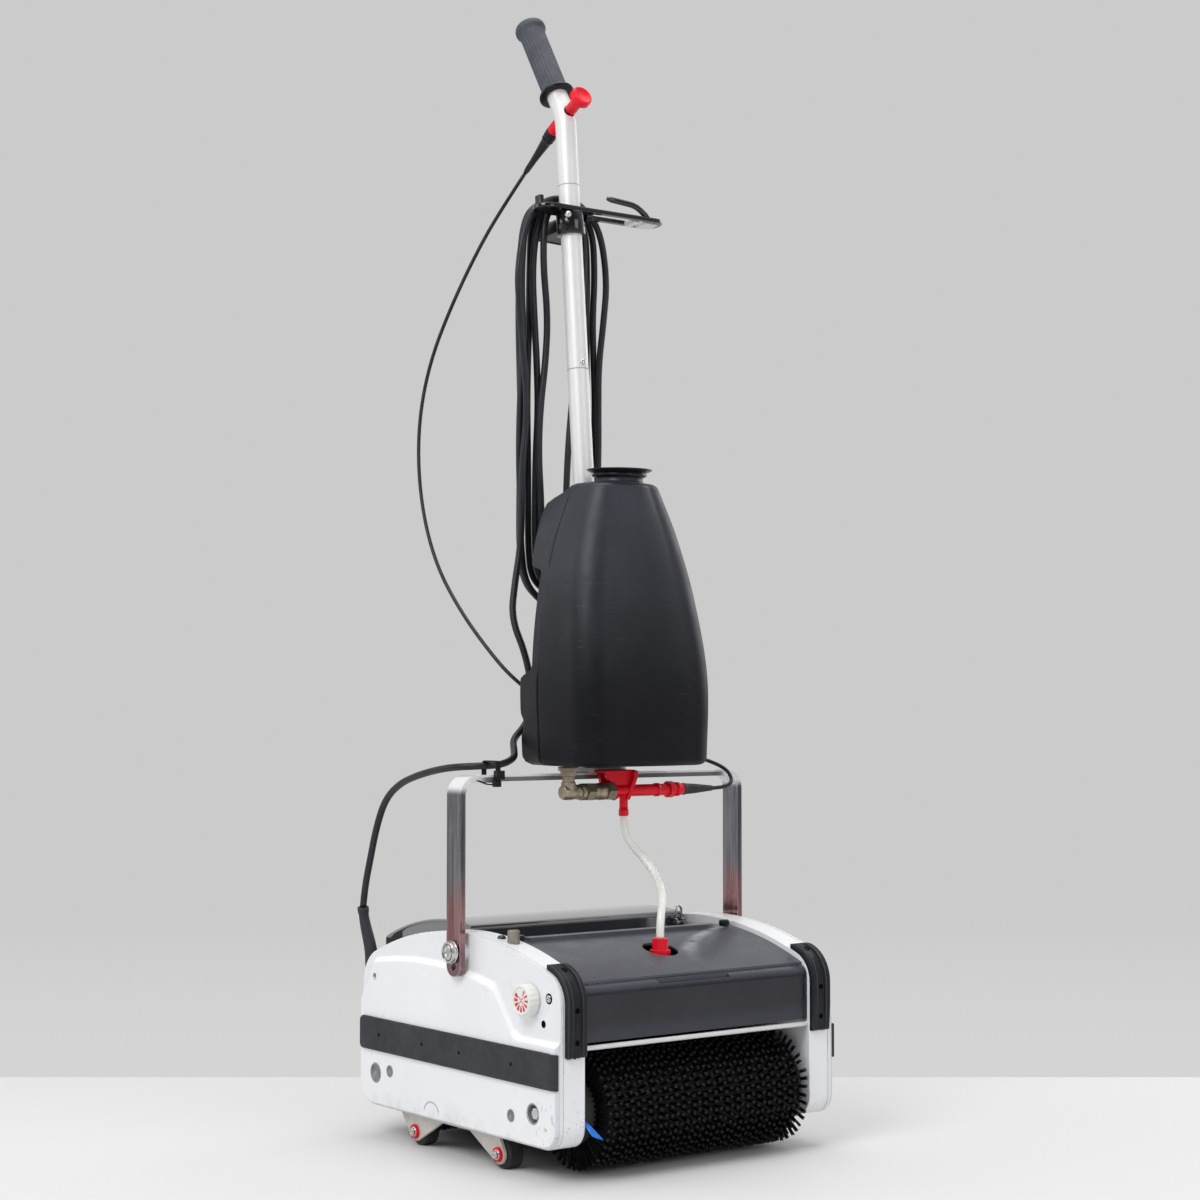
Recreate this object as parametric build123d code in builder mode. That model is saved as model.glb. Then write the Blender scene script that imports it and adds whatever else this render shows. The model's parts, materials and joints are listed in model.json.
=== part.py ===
from build123d import *
import os
from math import cos, dist, pi, radians, sin, sqrt, tan

# Floor scrubber with two brush cylinders and a water tank on its handle.
# Millimetres, +Z up, origin on the floor under the middle of the body.
# X runs across the machine, the brushes lie along X, and the operator stands at +Y.

# Fits
run_clear = 0.05  # radial clearance of a shaft that turns in its bush
slide_clear = 0.3  # gap beside a piece that slides or swings
seat_gap = 0.2  # gap of a cover between the two castings

# Side castings and their covers
inner_x = 175.0
casting_depth = 31.0
cover_plate = 4.0
bulge_rise = 6.0
web = 5.0
rim = 6.0
body_y = 219.0
body_z = 41.0
crown_y = -10.0
crown_z = 277.5
crown_radius = 520.0
top_front_r = 38.0
top_rear_r = 48.0
low_front_r = 26.0
low_rear_r = 34.0
bulge_edge_r = 5.0
bulge_slope = 52.0
bulge_foot_r = 7.0
seam_x = inner_x + casting_depth
inset_x = seam_x + cover_plate
bulge_x = inset_x + bulge_rise

# Raised field of the side cover: rear shoulder, long arch, scoop beside the dial
bulge_rear = (190.0, 230.0)
bulge_rear_low = (244.0, 146.0)
bulge_top = (60.0, 240.0)
bulge_front = (-88.0, 224.0)
bulge_dip = (-134.0, 168.0)
bulge_round = 24.0

# Pockets in the side cover: y, z, radius
big_pockets = [(178.0, 83.0), (-172.0, 80.0)]
small_pockets = [(144.0, 89.0), (-127.0, 72.0)]
top_pockets = [(182.0, 206.0), (-185.0, 185.0)]
big_pocket_r = 11.0
small_pocket_r = 6.5
top_pocket_r = 4.5
pocket_depth = 8.0
bolt_across = 13.0
bolt_head = 5.0
bolt_r = 3.0

# Rubber trim
bumper_low = 112.0
bumper_high = 154.0
bumper_len = 2 * body_y - 14.0
bumper_t = 4.5
bumper_corner_r = 7.0
bumper_holes = (164.0, 62.0, -22.0, -133.0)
bumper_hole_r = 2.6
guard_width = 28.5
guard_inner = 0.5
guard_t = 5.5
guard_groove = 2.0
guard_groove_w = 2.5
guard_low = 149.0
guard_back = 36.0 - body_y
guard_holes = (203.0, 166.0)
guard_hole_r = 3.2

# Brush cylinders, pick-up drum and their bearings
brush_y = body_y - 61.0
brush_r = 75.0
floor_gap = 1.0
brush_half = inner_x - 7.0
core_r = 38.0
sleeve_t = 3.0
strand_rows = 18
strands_round = 12
strand_side = 5.0
shaft_r = 8.0
bush_r = 13.0
bush_boss_r = 18.0
bush_boss = 3.0
drum_z = 80.0
drum_r = 64.0
drum_core_r = 46.0
drum_blades = 10
drum_blade_t = 4.0
brush_z = brush_r + floor_gap
sleeve_r = core_r + sleeve_t

# Belt drive in the right casting
brush_pulley_r = 25.0
drum_pulley_r = 22.0
drive_pulley_r = 18.0
drive_shaft_r = 6.0
belt_t = 3.0
belt_w = 8.0
belt_plane = inner_x + 9.0
second_plane = belt_plane + 11.0
front_drive = (-105.0, 200.0)
rear_drive = (-45.0, 205.0)
shaft_end = second_plane + belt_w + 1.0

# Motor and deck
deck_z = 166.0
deck_t = 3.0
deck_rear = 22.0
motor_y = -75.0
motor_z = 212.0
motor_r = 38.0
motor_left = 55.0 - inner_x
gear_case = 35.0
case_low = 180.0
case_high = 245.0
case_front = -128.0
case_rear = -22.0
drive_bore = 25.0

# Top cover, front panel and splash bar
cover_drop = 6.0
cover_t = 3.0
cover_front = 14.0 - body_y
cover_rear = -58.0
step_z = 252.0
nipple_y = -139.0
ridge_half = inner_x - 25.0
ridge_w = 15.0
ridge_h = 3.0
nipple_hole_r = 22.5
panel_low = 163.0
panel_high = 230.0
panel_y = 4.0 - body_y
panel_depth = 16.0
panel_t = 3.0
panel_round = 13.0
panel_notch = (-60.0, 50.0)
panel_notch_h = 6.0
bar_r = 3.0
bar_z = 157.0
knob_r = 7.0
knob_h = 7.0
knob_x = inner_x - 12.0
knob_y = -68.0

# Water spreader
spray_r = 5.0
spray_half = inner_x - 15.0
spray_z = 158.5
riser_r = 6.0
nipple_r = 10.0
nipple_low = 245.0
nipple_top = 268.0
nipple_foot_r = 13.0
nipple_foot = 9.0

# Recovery tank and lid
tank_y0 = 27.0
tank_y1 = body_y + 7.0
tank_low = 165.0
tank_high = 250.0
tank_x = inner_x - 3.0
tank_wall = 3.0
tank_corner_r = 30.0
inlet_half = tank_x - 22.0
inlet_low = 190.0
inlet_high = 212.0
ledge_w = 12.0
ledge_t = 7.0
lid_front_z = 280.0
lid_mid = (125.0, 281.0)
lid_rear_z = 254.0
lid_edge_r = 7.0

# Lid latch
latch_x = tank_x - 14.0
latch_y = 20.5
latch_z = 266.0
latch_w = 7.0
latch_h = 25.0
latch_t = 5.0
latch_wire = 2.0
ear_t = 4.0
ear_r = 6.0
latch_pin_r = 2.0

# Travelling wheels
wheel_r = 18.0
wheel_w = 20.0
wheel_y = (-83.0, 102.0)
wheel_out = inner_x + 23.0
axle_r = 4.0
bracket_t = 4.0
bracket_eye_r = 12.0
bracket_feet = (-52.0, 88.5)
bracket_lens = (62.0, 93.0)
bracket_flange_w = 18.0
red_bush_r = 9.0
red_bush_t = 3.0
axle_head_r = 5.0
axle_head = 3.5
wheel_gap = 1.0

# Dial and foot switch on the left side
dial_y = -160.0
dial_z = 211.0
dial_r = 19.5
dial_t = 15.5
dial_rim = 4.5
dial_recess = 1.5
dial_flutes = 18
dial_flute_r = 1.6
spindle_r = 5.0
spindle_len = 18.0
switch_x = inner_x + 15.0
switch_y = -95.0
switch_r = 7.0
switch_top = 281.0
switch_flange_r = 9.5
switch_flange_z = 258.0
switch_flange = 4.0

# Bail and its pivots
bail_y = -16.0
bail_w = 30.0
bail_t = 8.0
bail_side_gap = 1.0
bail_top = 470.0
bail_low = 225.0
bail_bend_r = 25.0
pivot_z = 255.0
pivot_r = 6.0
bail_slot = 17.0
pivot_head_r = 13.5
pivot_head = 8.0
washer_r = 12.0
bail_in = bulge_x + bail_side_gap
bail_out = bail_in + bail_t

# Handle tube, leaning back from the bail
tube_r = 14.0
tube_wall = 2.0
tube_y = -11.0
lean = 4.77
lower_len = 526.0
middle_len = 247.0
upper_straight = 95.0
bend_angle = 31.0
bend_r = 70.0
end_len = 163.0
spigot_half = 40.0
foot_r = 15.8
foot_h = 26.0
foot_plate = 6.0
foot_half = 30.0
top_joint = lower_len + middle_len
bend_at = top_joint + upper_straight
bend_y = tube_y + bend_at * sin(radians(lean))
bend_z = bail_top + bend_at * cos(radians(lean))

# Grip
grip_from = 36.0
grip_len = 128.0
grip_r = 17.5
grip_flange_r = 24.0
grip_flange = 4.0
grip_end_r = 21.0
grip_end = 12.0
grip_grooves = 20
grip_groove = 1.0
grip_groove_w = 2.0

# Thumb trigger through the bend of the tube
trigger_rise = 28.0
trigger_stem_r = 8.0
trigger_rod_r = 4.0
trigger_cap_r = 13.0
trigger_cap = 11.0
trigger_stem_from = 15.0
trigger_stem_to = 34.0
trigger_rod_to = -20.0
socket_r = 8.0
socket_from = -10.0
socket_to = -32.0
boot_tip_r = 3.0
boot_ribs = 3
boot_rib = 2.8
boot_rib_r = 9.2
boot_y = bend_y + 91.3
boot_z = bend_z - 58.0

# Cable hook: collar, flat hairpin arm and a saddle behind the tube
collar_len = 30.0
collar_at = top_joint - collar_len - 37.0
collar_wall = 5.0
arm_t = 5.5
arm_left = -56.0
arm_right = 150.0
arm_w = 36.0
arm_slot = (30.0, 138.0)
arm_slot_w = 20.0
arm_tab = 7.0
arm_tab_h = 13.0
finger = (116.0, 54.0)
finger_rise = 13.0
finger_t = 4.5
finger_w = 10.0
saddle_r = 20.0
saddle_len = 46.0
saddle_lip = 4.0
saddle_lip_r = 27.0
arm_at = collar_at + collar_len
saddle_mid = arm_at + 2.0 - saddle_r
saddle_top = bail_top + saddle_mid * cos(radians(lean)) + saddle_r

# Water tank on the handle: height, half width, front face, corner radius
water_low = bail_top + 10.0
tank_sections = [
    (water_low, 102.0, -136.0, 34.0),
    (water_low + 110.0, 106.0, -136.0, 38.0),
    (water_low + 210.0, 97.0, -121.0, 38.0),
    (water_low + 290.0, 78.0, -106.0, 34.0),
    (water_low + 358.0, 52.0, -91.0, 26.0),
]
tank_seam = -27.0
water_wall = 3.0
tank_base_r = 2.6
tank_back_y = 42.0
tank_back_shrink = 0.86
back_wall = 3.5
back_rib_y = 38.0
back_profile = [
    (-40.0, water_low),
    (30.0, water_low),
    (38.0, water_low + 10.0),
    (38.0, water_low + 38.0),
    (30.0, water_low + 45.0),
    (30.0, water_low + 57.0),
    (38.0, water_low + 65.0),
    (38.0, water_low + 110.0),
    (2.0, water_low + 120.0),
    (2.0, water_low + 248.0),
    (36.0, water_low + 255.0),
    (40.0, water_low + 318.0),
    (37.0, water_low + 336.0),
    (-27.0, water_low + 358.0),
    (-40.0, water_low + 358.0),
]
spine_half = 24.0
spine_y = 34.0
spine_low = water_low + 108.0
spine_high = water_low + 257.0
neck_y = -56.0
neck_r = 26.0
neck_wall = 4.0
neck_h = 8.0
cap_r = 42.0
cap_t = 9.0
cap_skirt_r = 35.0
cap_waist_r = 32.5
cap_skirt = 3.5
cap_dish = 2.4
cap_lip = 2.0
cap_plug_r = 25.6
cap_plug = 16.0

# Outlet fittings and flow valve under the tank
valve_y = -52.0
elbow_x = -77.0
elbow_r = 8.0
elbow_drop = 28.0
fitting_from = -52.0
fitting_to = -8.0
fitting_r = 12.0
valve_z = bail_top - 23.0
valve_x0 = -8.0
valve_x1 = 106.0
valve_r = 7.5
valve_bore_r = 4.5
valve_lug_x = 84.0
outlet_x = 10.0
outlet_r = 5.5
outlet_low = valve_z - 30.0
bracket_plate_t = 5.0
bracket_outline = [
    (-17.0, bail_top - 1.0),
    (24.0, bail_top - 1.0),
    (20.0, valve_z - 7.0),
    (8.0, valve_z - 13.0),
    (-8.0, valve_z - 7.0),
]
bracket_bridge = (-4.0, 18.0)
plunger_r = 4.4
plunger_len = 40.0
plunger_from = 40.0
lower_boot_r = 7.0

# Mains cable
mains_d = 9.0

# Mains hank hung on the saddle: half width and y of each loop, outer layer first
hank_x = 8.0
hank_loops = [(68.0, 76.0), (62.0, 86.0), (57.0, 96.0), (43.0, 96.0), (39.0, 86.0), (35.0, 76.0)]
hank_seat = 0.4
hank_crest = saddle_top + hank_seat + mains_d / 2
hank_layer = 10.5
hank_drop = 462.4
hank_bottom = hank_crest - hank_drop
hank_start = hank_bottom + 70.0
hank_end = hank_bottom + 64.0
hank_tail_y = 70.0
plug_r = 17.0
plug_len = 52.0
plug_pin_r = 2.4
plug_pin = 19.0
plug_pins = 19.0
hank_left = hank_x - hank_loops[0][0]

# Cords
control_d = 5.0
hose_d = 10.0
gland_r = 8.0
gland_x = -seam_x + 6.0
gland_tip = 290.0
gland_route = [
    (gland_x, body_y, 204.0),
    (gland_x, body_y + 10.5, 204.0),
    (gland_x, body_y + 10.5, 234.0),
    (gland_x, body_y + 20.5, gland_tip - 12.0),
    (gland_x, body_y + 18.5, gland_tip),
]
lead_rise = bail_top - gland_tip
riser_low = water_low + 106.0
lead_route = [
    (gland_x, body_y + 18.5, gland_tip),
    (gland_x, body_y + 14.0, gland_tip + 0.15 * lead_rise),
    (gland_x - 0.5, body_y, gland_tip + 0.3556 * lead_rise),
    (gland_x - 1.5, body_y - 16.0, gland_tip + 0.5833 * lead_rise),
    (gland_x - 3.0, body_y - 40.0, gland_tip + 0.7944 * lead_rise),
    (gland_x - 4.0, body_y - 77.0, gland_tip + 0.9167 * lead_rise),
    (gland_x - 4.0, 98.0, bail_top - 3.0),
    (gland_x - 3.0, 54.0, bail_top + 5.0),
    (gland_x + 1.0, 22.0, bail_top + 9.0),
    (-179.5, -2.5, bail_top + 10.5),
    (-150.5, -10.5, bail_top + 11.5),
    (-122.0, 1.5, bail_top + 19.0),
    (-106.0, 25.5, bail_top + 29.0),
    (-93.0, 47.0, bail_top + 42.0),
    (-72.0, 48.0, bail_top + 60.0),
    (-62.5, 43.6, bail_top + 88.0),
    (-66.0, 46.0, riser_low),
]
riser_rise = hank_start - riser_low
riser_route = [
    (-66.0, 46.0, riser_low),
    (-70.0, 48.743, riser_low + 0.138 * riser_rise),
    (-80.0, 70.0, riser_low + 0.3535 * riser_rise),
    (-71.0, 74.5, riser_low + 0.556 * riser_rise),
    (-62.0, 76.0, riser_low + 0.737 * riser_rise),
    (hank_left, hank_loops[0][1], riser_low + 0.8707 * riser_rise),
    (hank_left, hank_loops[0][1], hank_start),
]
cable_low = bail_top + 94.0
cable_rise = boot_z - cable_low
boot_len = 51.0
control_route = [
    (0.0, boot_y, boot_z),
    (-17.0, 190.0, cable_low + 0.93 * cable_rise),
    (-37.0, 214.0, cable_low + 0.857 * cable_rise),
    (-60.0, 240.0, cable_low + 0.759 * cable_rise),
    (-80.0, 263.0, cable_low + 0.6535 * cable_rise),
    (-93.0, 271.0, cable_low + 0.5485 * cable_rise),
    (-99.0, 266.0, cable_low + 0.443 * cable_rise),
    (-101.0, 247.0, cable_low + 0.338 * cable_rise),
    (-100.0, 214.0, cable_low + 0.244 * cable_rise),
    (-96.0, 165.0, cable_low + 0.1627 * cable_rise),
    (-90.0, 113.0, cable_low + 0.094 * cable_rise),
    (-78.0, 73.0, cable_low + 0.0393 * cable_rise),
    (-46.0, 54.0, cable_low),
    (0.0, 53.0, bail_top + 75.0),
    (50.0, 52.0, bail_top + 58.0),
    (98.0, 40.0, bail_top + 41.0),
    (134.0, 18.0, bail_top + 27.0),
    (158.0, -3.0, bail_top + 18.5),
    (179.0, -22.0, bail_top + 11.0),
    (192.0, -41.0, bail_top),
    (191.0, -53.0, bail_top - 15.0),
    (176.0, -55.0, valve_z + 0.5),
    (valve_x1 + boot_len, valve_y - 0.5, valve_z),
]
hose_drop = outlet_low - nipple_top
hose_route = [
    (outlet_x, valve_y, outlet_low),
    (outlet_x, valve_y, nipple_top + 0.8725 * hose_drop),
    (16.0, -60.0, nipple_top + 0.745 * hose_drop),
    (25.0, -76.0, nipple_top + 0.624 * hose_drop),
    (29.0, -95.0, nipple_top + 0.49 * hose_drop),
    (18.0, -122.0, nipple_top + 0.349 * hose_drop),
    (6.0, -134.0, nipple_top + 0.2148 * hose_drop),
    (0.0, nipple_y, nipple_top + 0.1007 * hose_drop),
    (0.0, nipple_y, nipple_top),
]
tie_x = -157.0
tie_cord_z = bail_top + 12.0
tie_w = 5.0
tie_t = 1.6
clip_w = 9.0
clip_h = 12.0


def crown(y, drop=0.0):
    """Height of the arched top line at y, or of a line at a steady depth under it."""
    return crown_z - crown_radius + sqrt((crown_radius - drop) ** 2 - (y - crown_y) ** 2)


def side_outline(x, grow=0.0):
    """Side view of the body at a given x, grown outwards all round."""
    with BuildSketch(Plane.YZ.offset(x)) as outline:
        with BuildLine():
            Polyline(
                (-body_y, crown(-body_y)), (-body_y, body_z), (body_y, body_z), (body_y, crown(body_y))
            )
            ThreePointArc((body_y, crown(body_y)), (crown_y, crown_z), (-body_y, crown(-body_y)))
        make_face()
        for corner, radius in (
            ((-body_y, body_z), low_front_r),
            ((body_y, body_z), low_rear_r),
            ((-body_y, crown(-body_y)), top_front_r),
            ((body_y, crown(body_y)), top_rear_r),
        ):
            fillet(outline.vertices().sort_by_distance(corner)[0], radius)
        if grow:
            offset(amount=grow)
    return outline.sketch


def discs(x, centres, radius):
    """Circles in the side view at a given x."""
    with BuildSketch(Plane.YZ.offset(x)) as circles:
        with Locations(*centres):
            Circle(radius)
    return circles.sketch


def corner_radii(route):
    """Largest radius that the two runs at each inner point of a route allow."""
    radii = []
    for before, here, after in zip(route, route[1:], route[2:]):
        into = Vector(*here) - Vector(*before)
        out = Vector(*after) - Vector(*here)
        turn = radians(into.get_angle(out))
        radii.append(0.45 * min(into.length, out.length) / tan(turn / 2))
    return radii


def cord(name, route, diameter):
    """Round tube along straight runs and tangent arcs."""
    radii = corner_radii(route)
    with BuildPart() as tube:
        with BuildLine() as path:
            FilletPolyline(*route, radius=radii)
        wire = path.wire()
        with BuildSketch(Plane(origin=wire @ 0, z_dir=wire % 0)):
            Circle(diameter / 2)
        sweep(path=wire)
    length = wire.length
    share = tube.part.volume / (pi * diameter**2 / 4 * length)
    print(f"{name}: {length:.0f} mm, radii {[round(r) for r in radii]}, volume share {share:.4f}")
    return tube.part


def hull_of_discs(x, first, first_r, second, second_r):
    """Outline of a belt run over two pulleys."""
    with BuildSketch(Plane.YZ.offset(x)) as loop:
        with Locations(first):
            Circle(first_r)
        with Locations(second):
            Circle(second_r)
        make_hull()
    return loop.sketch


def ring_of_boxes(centre):
    """Places of the bristle tufts around one brush."""
    places = []
    pitch = 2 * (brush_half - 4.0) / strand_rows
    reach = brush_r - 0.1
    middle = (reach + core_r + sleeve_t / 2) / 2
    for row in range(strand_rows):
        x = -brush_half + 4.0 + pitch * (row + 0.5)
        for step in range(strands_round):
            angle = 360.0 / strands_round * (step + 0.5 * (row % 2))
            y = centre[0] - middle * sin(radians(angle))
            z = centre[1] + middle * cos(radians(angle))
            places.append(Location((x, y, z), (angle, 0, 0)))
    return places


def tube_point(along, across=0.0):
    """Point of the leaning handle axis, at a distance from the bail."""
    return (
        0.0,
        tube_y + along * sin(radians(lean)) + across * cos(radians(lean)),
        bail_top + along * cos(radians(lean)) - across * sin(radians(lean)),
    )


def tank_section(height, half, front, corner, inset=0.0):
    """Plan of the water tank at one height."""
    with BuildSketch(Plane.XY.offset(height)) as plan:
        with BuildLine():
            Polyline(
                (-half + inset, tank_seam - inset),
                (-half + inset, front + inset),
                (half - inset, front + inset),
                (half - inset, tank_seam - inset),
                close=True,
            )
        make_face()
        fillet(plan.vertices().group_by(Axis.Y)[0], corner - inset)
    return plan.sketch


def rear_outline(y, scale, inset):
    """Rear view of the tank's back half at one depth."""
    low = tank_sections[0][0]
    high = tank_sections[-1][0]
    right = []
    for height, half, front, corner in tank_sections:
        level = min(max(height, low + inset), high - inset)
        right.append((half * scale - inset, level))
    left = [(-x, z) for x, z in reversed(right)]
    with BuildSketch(Plane.XZ.offset(-y)) as outline:
        with BuildLine():
            Spline(*right)
            Line(right[-1], left[0])
            Spline(*left)
            Line(left[-1], right[0])
        make_face()
    return outline.sketch


def rear_form(inset):
    """Outer or inner body of the tank's back half: two ribs below, a recess and a bump above."""
    start = tank_seam if inset == 0 else tank_seam - 1.0
    with BuildPart() as form:
        front = rear_outline(start, 1.0, inset)
        rear = rear_outline(tank_back_y, tank_back_shrink, inset)
        loft([front, rear], ruled=True)
        with BuildSketch(Plane.YZ) as profile:
            with BuildLine():
                Polyline(*[(y, z) for y, z in back_profile], close=True)
            make_face()
            if inset:
                offset(amount=-inset, kind=Kind.INTERSECTION)
        extrude(amount=2 * cap_r + tank_sections[1][1], both=True, mode=Mode.INTERSECT)
        low_spine = spine_low - inset
        high_spine = spine_high + inset
        with Locations((0, (start + spine_y - inset) / 2, (low_spine + high_spine) / 2)):
            Box(2 * (spine_half - inset), spine_y - inset - start, high_spine - low_spine)
    return form.part


os.makedirs("parts", exist_ok=True)
shaft_centres = [(-brush_y, brush_z), (0.0, drum_z), (brush_y, brush_z)]
bush_len = web + bush_boss
bush_end = inner_x + bush_len
cover_x = inner_x - seat_gap
tube_plane = Plane(
    origin=(0, tube_y, bail_top), x_dir=(1, 0, 0), z_dir=(0, sin(radians(lean)), cos(radians(lean)))
)
bend_point = (0.0, bend_y, bend_z)
grip_way = (0.0, sin(radians(bend_angle)), cos(radians(bend_angle)))
tube_end = tuple(b + end_len * w for b, w in zip(bend_point, grip_way))
grip_plane = Plane(origin=bend_point, x_dir=(1, 0, 0), z_dir=grip_way)
trigger_way = (0.0, -cos(radians(trigger_rise)), sin(radians(trigger_rise)))
trigger_plane = Plane(origin=bend_point, x_dir=(1, 0, 0), z_dir=trigger_way)

# Side castings: a web and rim open to the outside, with bearing bosses and tank ledges
with BuildPart() as casting_blank:
    extrude(side_outline(-inner_x), amount=-casting_depth)
    extrude(side_outline(-inner_x - web, -rim), amount=-casting_depth, mode=Mode.SUBTRACT)
    extrude(discs(-inner_x - web, shaft_centres, bush_boss_r), amount=-bush_boss)
    extrude(discs(-inner_x, shaft_centres, bush_r), amount=-bush_len, mode=Mode.SUBTRACT)
    ledge_len = tank_y1 - tank_y0 - tank_corner_r
    ledge_z = tank_low - slide_clear - ledge_t / 2
    with Locations((-inner_x + ledge_w / 2, tank_y0 + ledge_len / 2, ledge_z)):
        Box(ledge_w, ledge_len, ledge_t)
    pivot_bore = discs(-inner_x, [(bail_y, pivot_z)], pivot_r + run_clear)
    extrude(pivot_bore, amount=-casting_depth, mode=Mode.SUBTRACT)

with BuildPart() as left_casting:
    add(casting_blank.part)
    with Locations((-switch_x, switch_y, crown_z)):
        Cylinder(switch_r + slide_clear / 2, 6 * rim, mode=Mode.SUBTRACT)
left_casting.part.label = "left_casting"
export_step(left_casting.part, "parts/left_casting.step")

with BuildPart() as right_casting:
    mirror(casting_blank.part, about=Plane.YZ)
    drive_holes = discs(inner_x, [front_drive, rear_drive], drive_shaft_r + 1.0)
    extrude(drive_holes, amount=web, mode=Mode.SUBTRACT)
right_casting.part.label = "right_casting"
export_step(right_casting.part, "parts/right_casting.step")

# Bushes that carry the brush and drum shafts
with BuildPart() as shaft_bearings:
    extrude(discs(-inner_x, shaft_centres, bush_r - run_clear), amount=-bush_len)
    extrude(discs(-inner_x, shaft_centres, shaft_r + run_clear), amount=-bush_len, mode=Mode.SUBTRACT)
    mirror(about=Plane.YZ)
shaft_bearings.part.label = "shaft_bearings"
export_step(shaft_bearings.part, "parts/shaft_bearings.step")

# Side covers: a flat plate with the raised field below its arch
with BuildPart() as bulge:
    extrude(side_outline(-inset_x), amount=-bulge_rise)
    with BuildSketch(Plane.YZ.offset(-inset_x)) as field:
        with BuildLine():
            Polyline(
                bulge_front,
                bulge_dip,
                (-2 * body_y, bulge_dip[1]),
                (-2 * body_y, 0),
                (2 * body_y, 0),
                bulge_rear_low,
                bulge_rear,
            )
            ThreePointArc(bulge_rear, bulge_top, bulge_front)
        make_face()
        for corner in (bulge_front, bulge_dip, bulge_rear):
            fillet(field.vertices().sort_by_distance(corner)[0], bulge_round)
    extrude(amount=-bulge_rise, taper=bulge_slope, mode=Mode.INTERSECT)
    fillet(bulge.faces().sort_by(Axis.X)[0].edges(), bulge_edge_r)

with BuildPart() as cover_blank:
    extrude(side_outline(-seam_x), amount=-cover_plate)
    add(bulge.part)
    fillet(cover_blank.edges().filter_by(Edge.is_interior), bulge_foot_r)
    extrude(discs(-bulge_x, big_pockets, big_pocket_r), amount=pocket_depth, mode=Mode.SUBTRACT)
    extrude(discs(-bulge_x, small_pockets, small_pocket_r), amount=pocket_depth, mode=Mode.SUBTRACT)
    extrude(discs(-bulge_x, top_pockets, top_pocket_r), amount=pocket_depth, mode=Mode.SUBTRACT)
    extrude(discs(-bulge_x, big_pockets, bolt_r + run_clear), amount=bulge_x - seam_x, mode=Mode.SUBTRACT)
    extrude(
        discs(-bulge_x, [(bail_y, pivot_z)], pivot_r + run_clear),
        amount=bulge_x - seam_x,
        mode=Mode.SUBTRACT,
    )

with BuildPart() as left_side_cover:
    add(cover_blank.part)
    extrude(
        discs(-bulge_x, [(dial_y, dial_z)], spindle_r + run_clear),
        amount=bulge_x - seam_x,
        mode=Mode.SUBTRACT,
    )
left_side_cover.part.label = "left_side_cover"
export_step(left_side_cover.part, "parts/left_side_cover.step")

with BuildPart() as right_side_cover:
    mirror(cover_blank.part, about=Plane.YZ)
right_side_cover.part.label = "right_side_cover"
export_step(right_side_cover.part, "parts/right_side_cover.step")

# Hexagon bolts in the large pockets
with BuildPart() as cover_bolts:
    with BuildSketch(Plane.YZ.offset(-bulge_x + pocket_depth)):
        with Locations(*big_pockets):
            RegularPolygon(bolt_across / 2, 6, major_radius=False)
    extrude(amount=-bolt_head)
    extrude(discs(-bulge_x + pocket_depth, big_pockets, bolt_r), amount=bulge_x - seam_x - pocket_depth)
    mirror(about=Plane.YZ)
cover_bolts.part.label = "cover_bolts"
export_step(cover_bolts.part, "parts/cover_bolts.step")

# Rubber bumper along each side
with BuildPart() as side_bumpers:
    with BuildSketch(Plane.YZ.offset(-bulge_x)):
        with Locations((0, (bumper_low + bumper_high) / 2)):
            RectangleRounded(bumper_len, bumper_high - bumper_low, bumper_corner_r)
    extrude(amount=-bumper_t)
    fillet(side_bumpers.faces().sort_by(Axis.X)[0].edges(), bumper_t / 2)
    bumper_mid = (bumper_low + bumper_high) / 2
    extrude(
        discs(-bulge_x - bumper_t, [(y, bumper_mid) for y in bumper_holes], bumper_hole_r),
        amount=bumper_t - 1.0,
        mode=Mode.SUBTRACT,
    )
    mirror(about=Plane.YZ)
side_bumpers.part.label = "side_bumpers"
export_step(side_bumpers.part, "parts/side_bumpers.step")

# Ribbed guard round each front corner
guard_x = inner_x + guard_inner
guard_cuts = [guard_x, guard_x + guard_width * 0.27, guard_x + guard_width * 0.64, guard_x + guard_width]
with BuildPart() as corner_guards:
    extrude(side_outline(-guard_x, guard_t), amount=-guard_width)
    extrude(side_outline(-guard_x, run_clear), amount=-guard_width, mode=Mode.SUBTRACT)
    for groove_x in guard_cuts[1:3]:
        with BuildSketch(Plane.YZ.offset(-groove_x)) as groove:
            add(side_outline(0, 3 * guard_t))
            add(side_outline(0, guard_t - guard_groove), mode=Mode.SUBTRACT)
        extrude(amount=-guard_groove_w, mode=Mode.SUBTRACT)
    with Locations((-guard_x - guard_width / 2, guard_back - body_y / 2, guard_low + body_y / 2)):
        Box(2 * guard_width, body_y, body_y, mode=Mode.INTERSECT)
    with BuildSketch(Plane.XZ.offset(body_y + 2 * guard_t)):
        with Locations(*[(-guard_x - guard_width / 2, z) for z in guard_holes]):
            Circle(guard_hole_r)
    extrude(amount=-2 * guard_t + 1.0, mode=Mode.SUBTRACT)
    mirror(about=Plane.YZ)
corner_guards.part.label = "corner_guards"
export_step(corner_guards.part, "parts/corner_guards.step")

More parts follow.
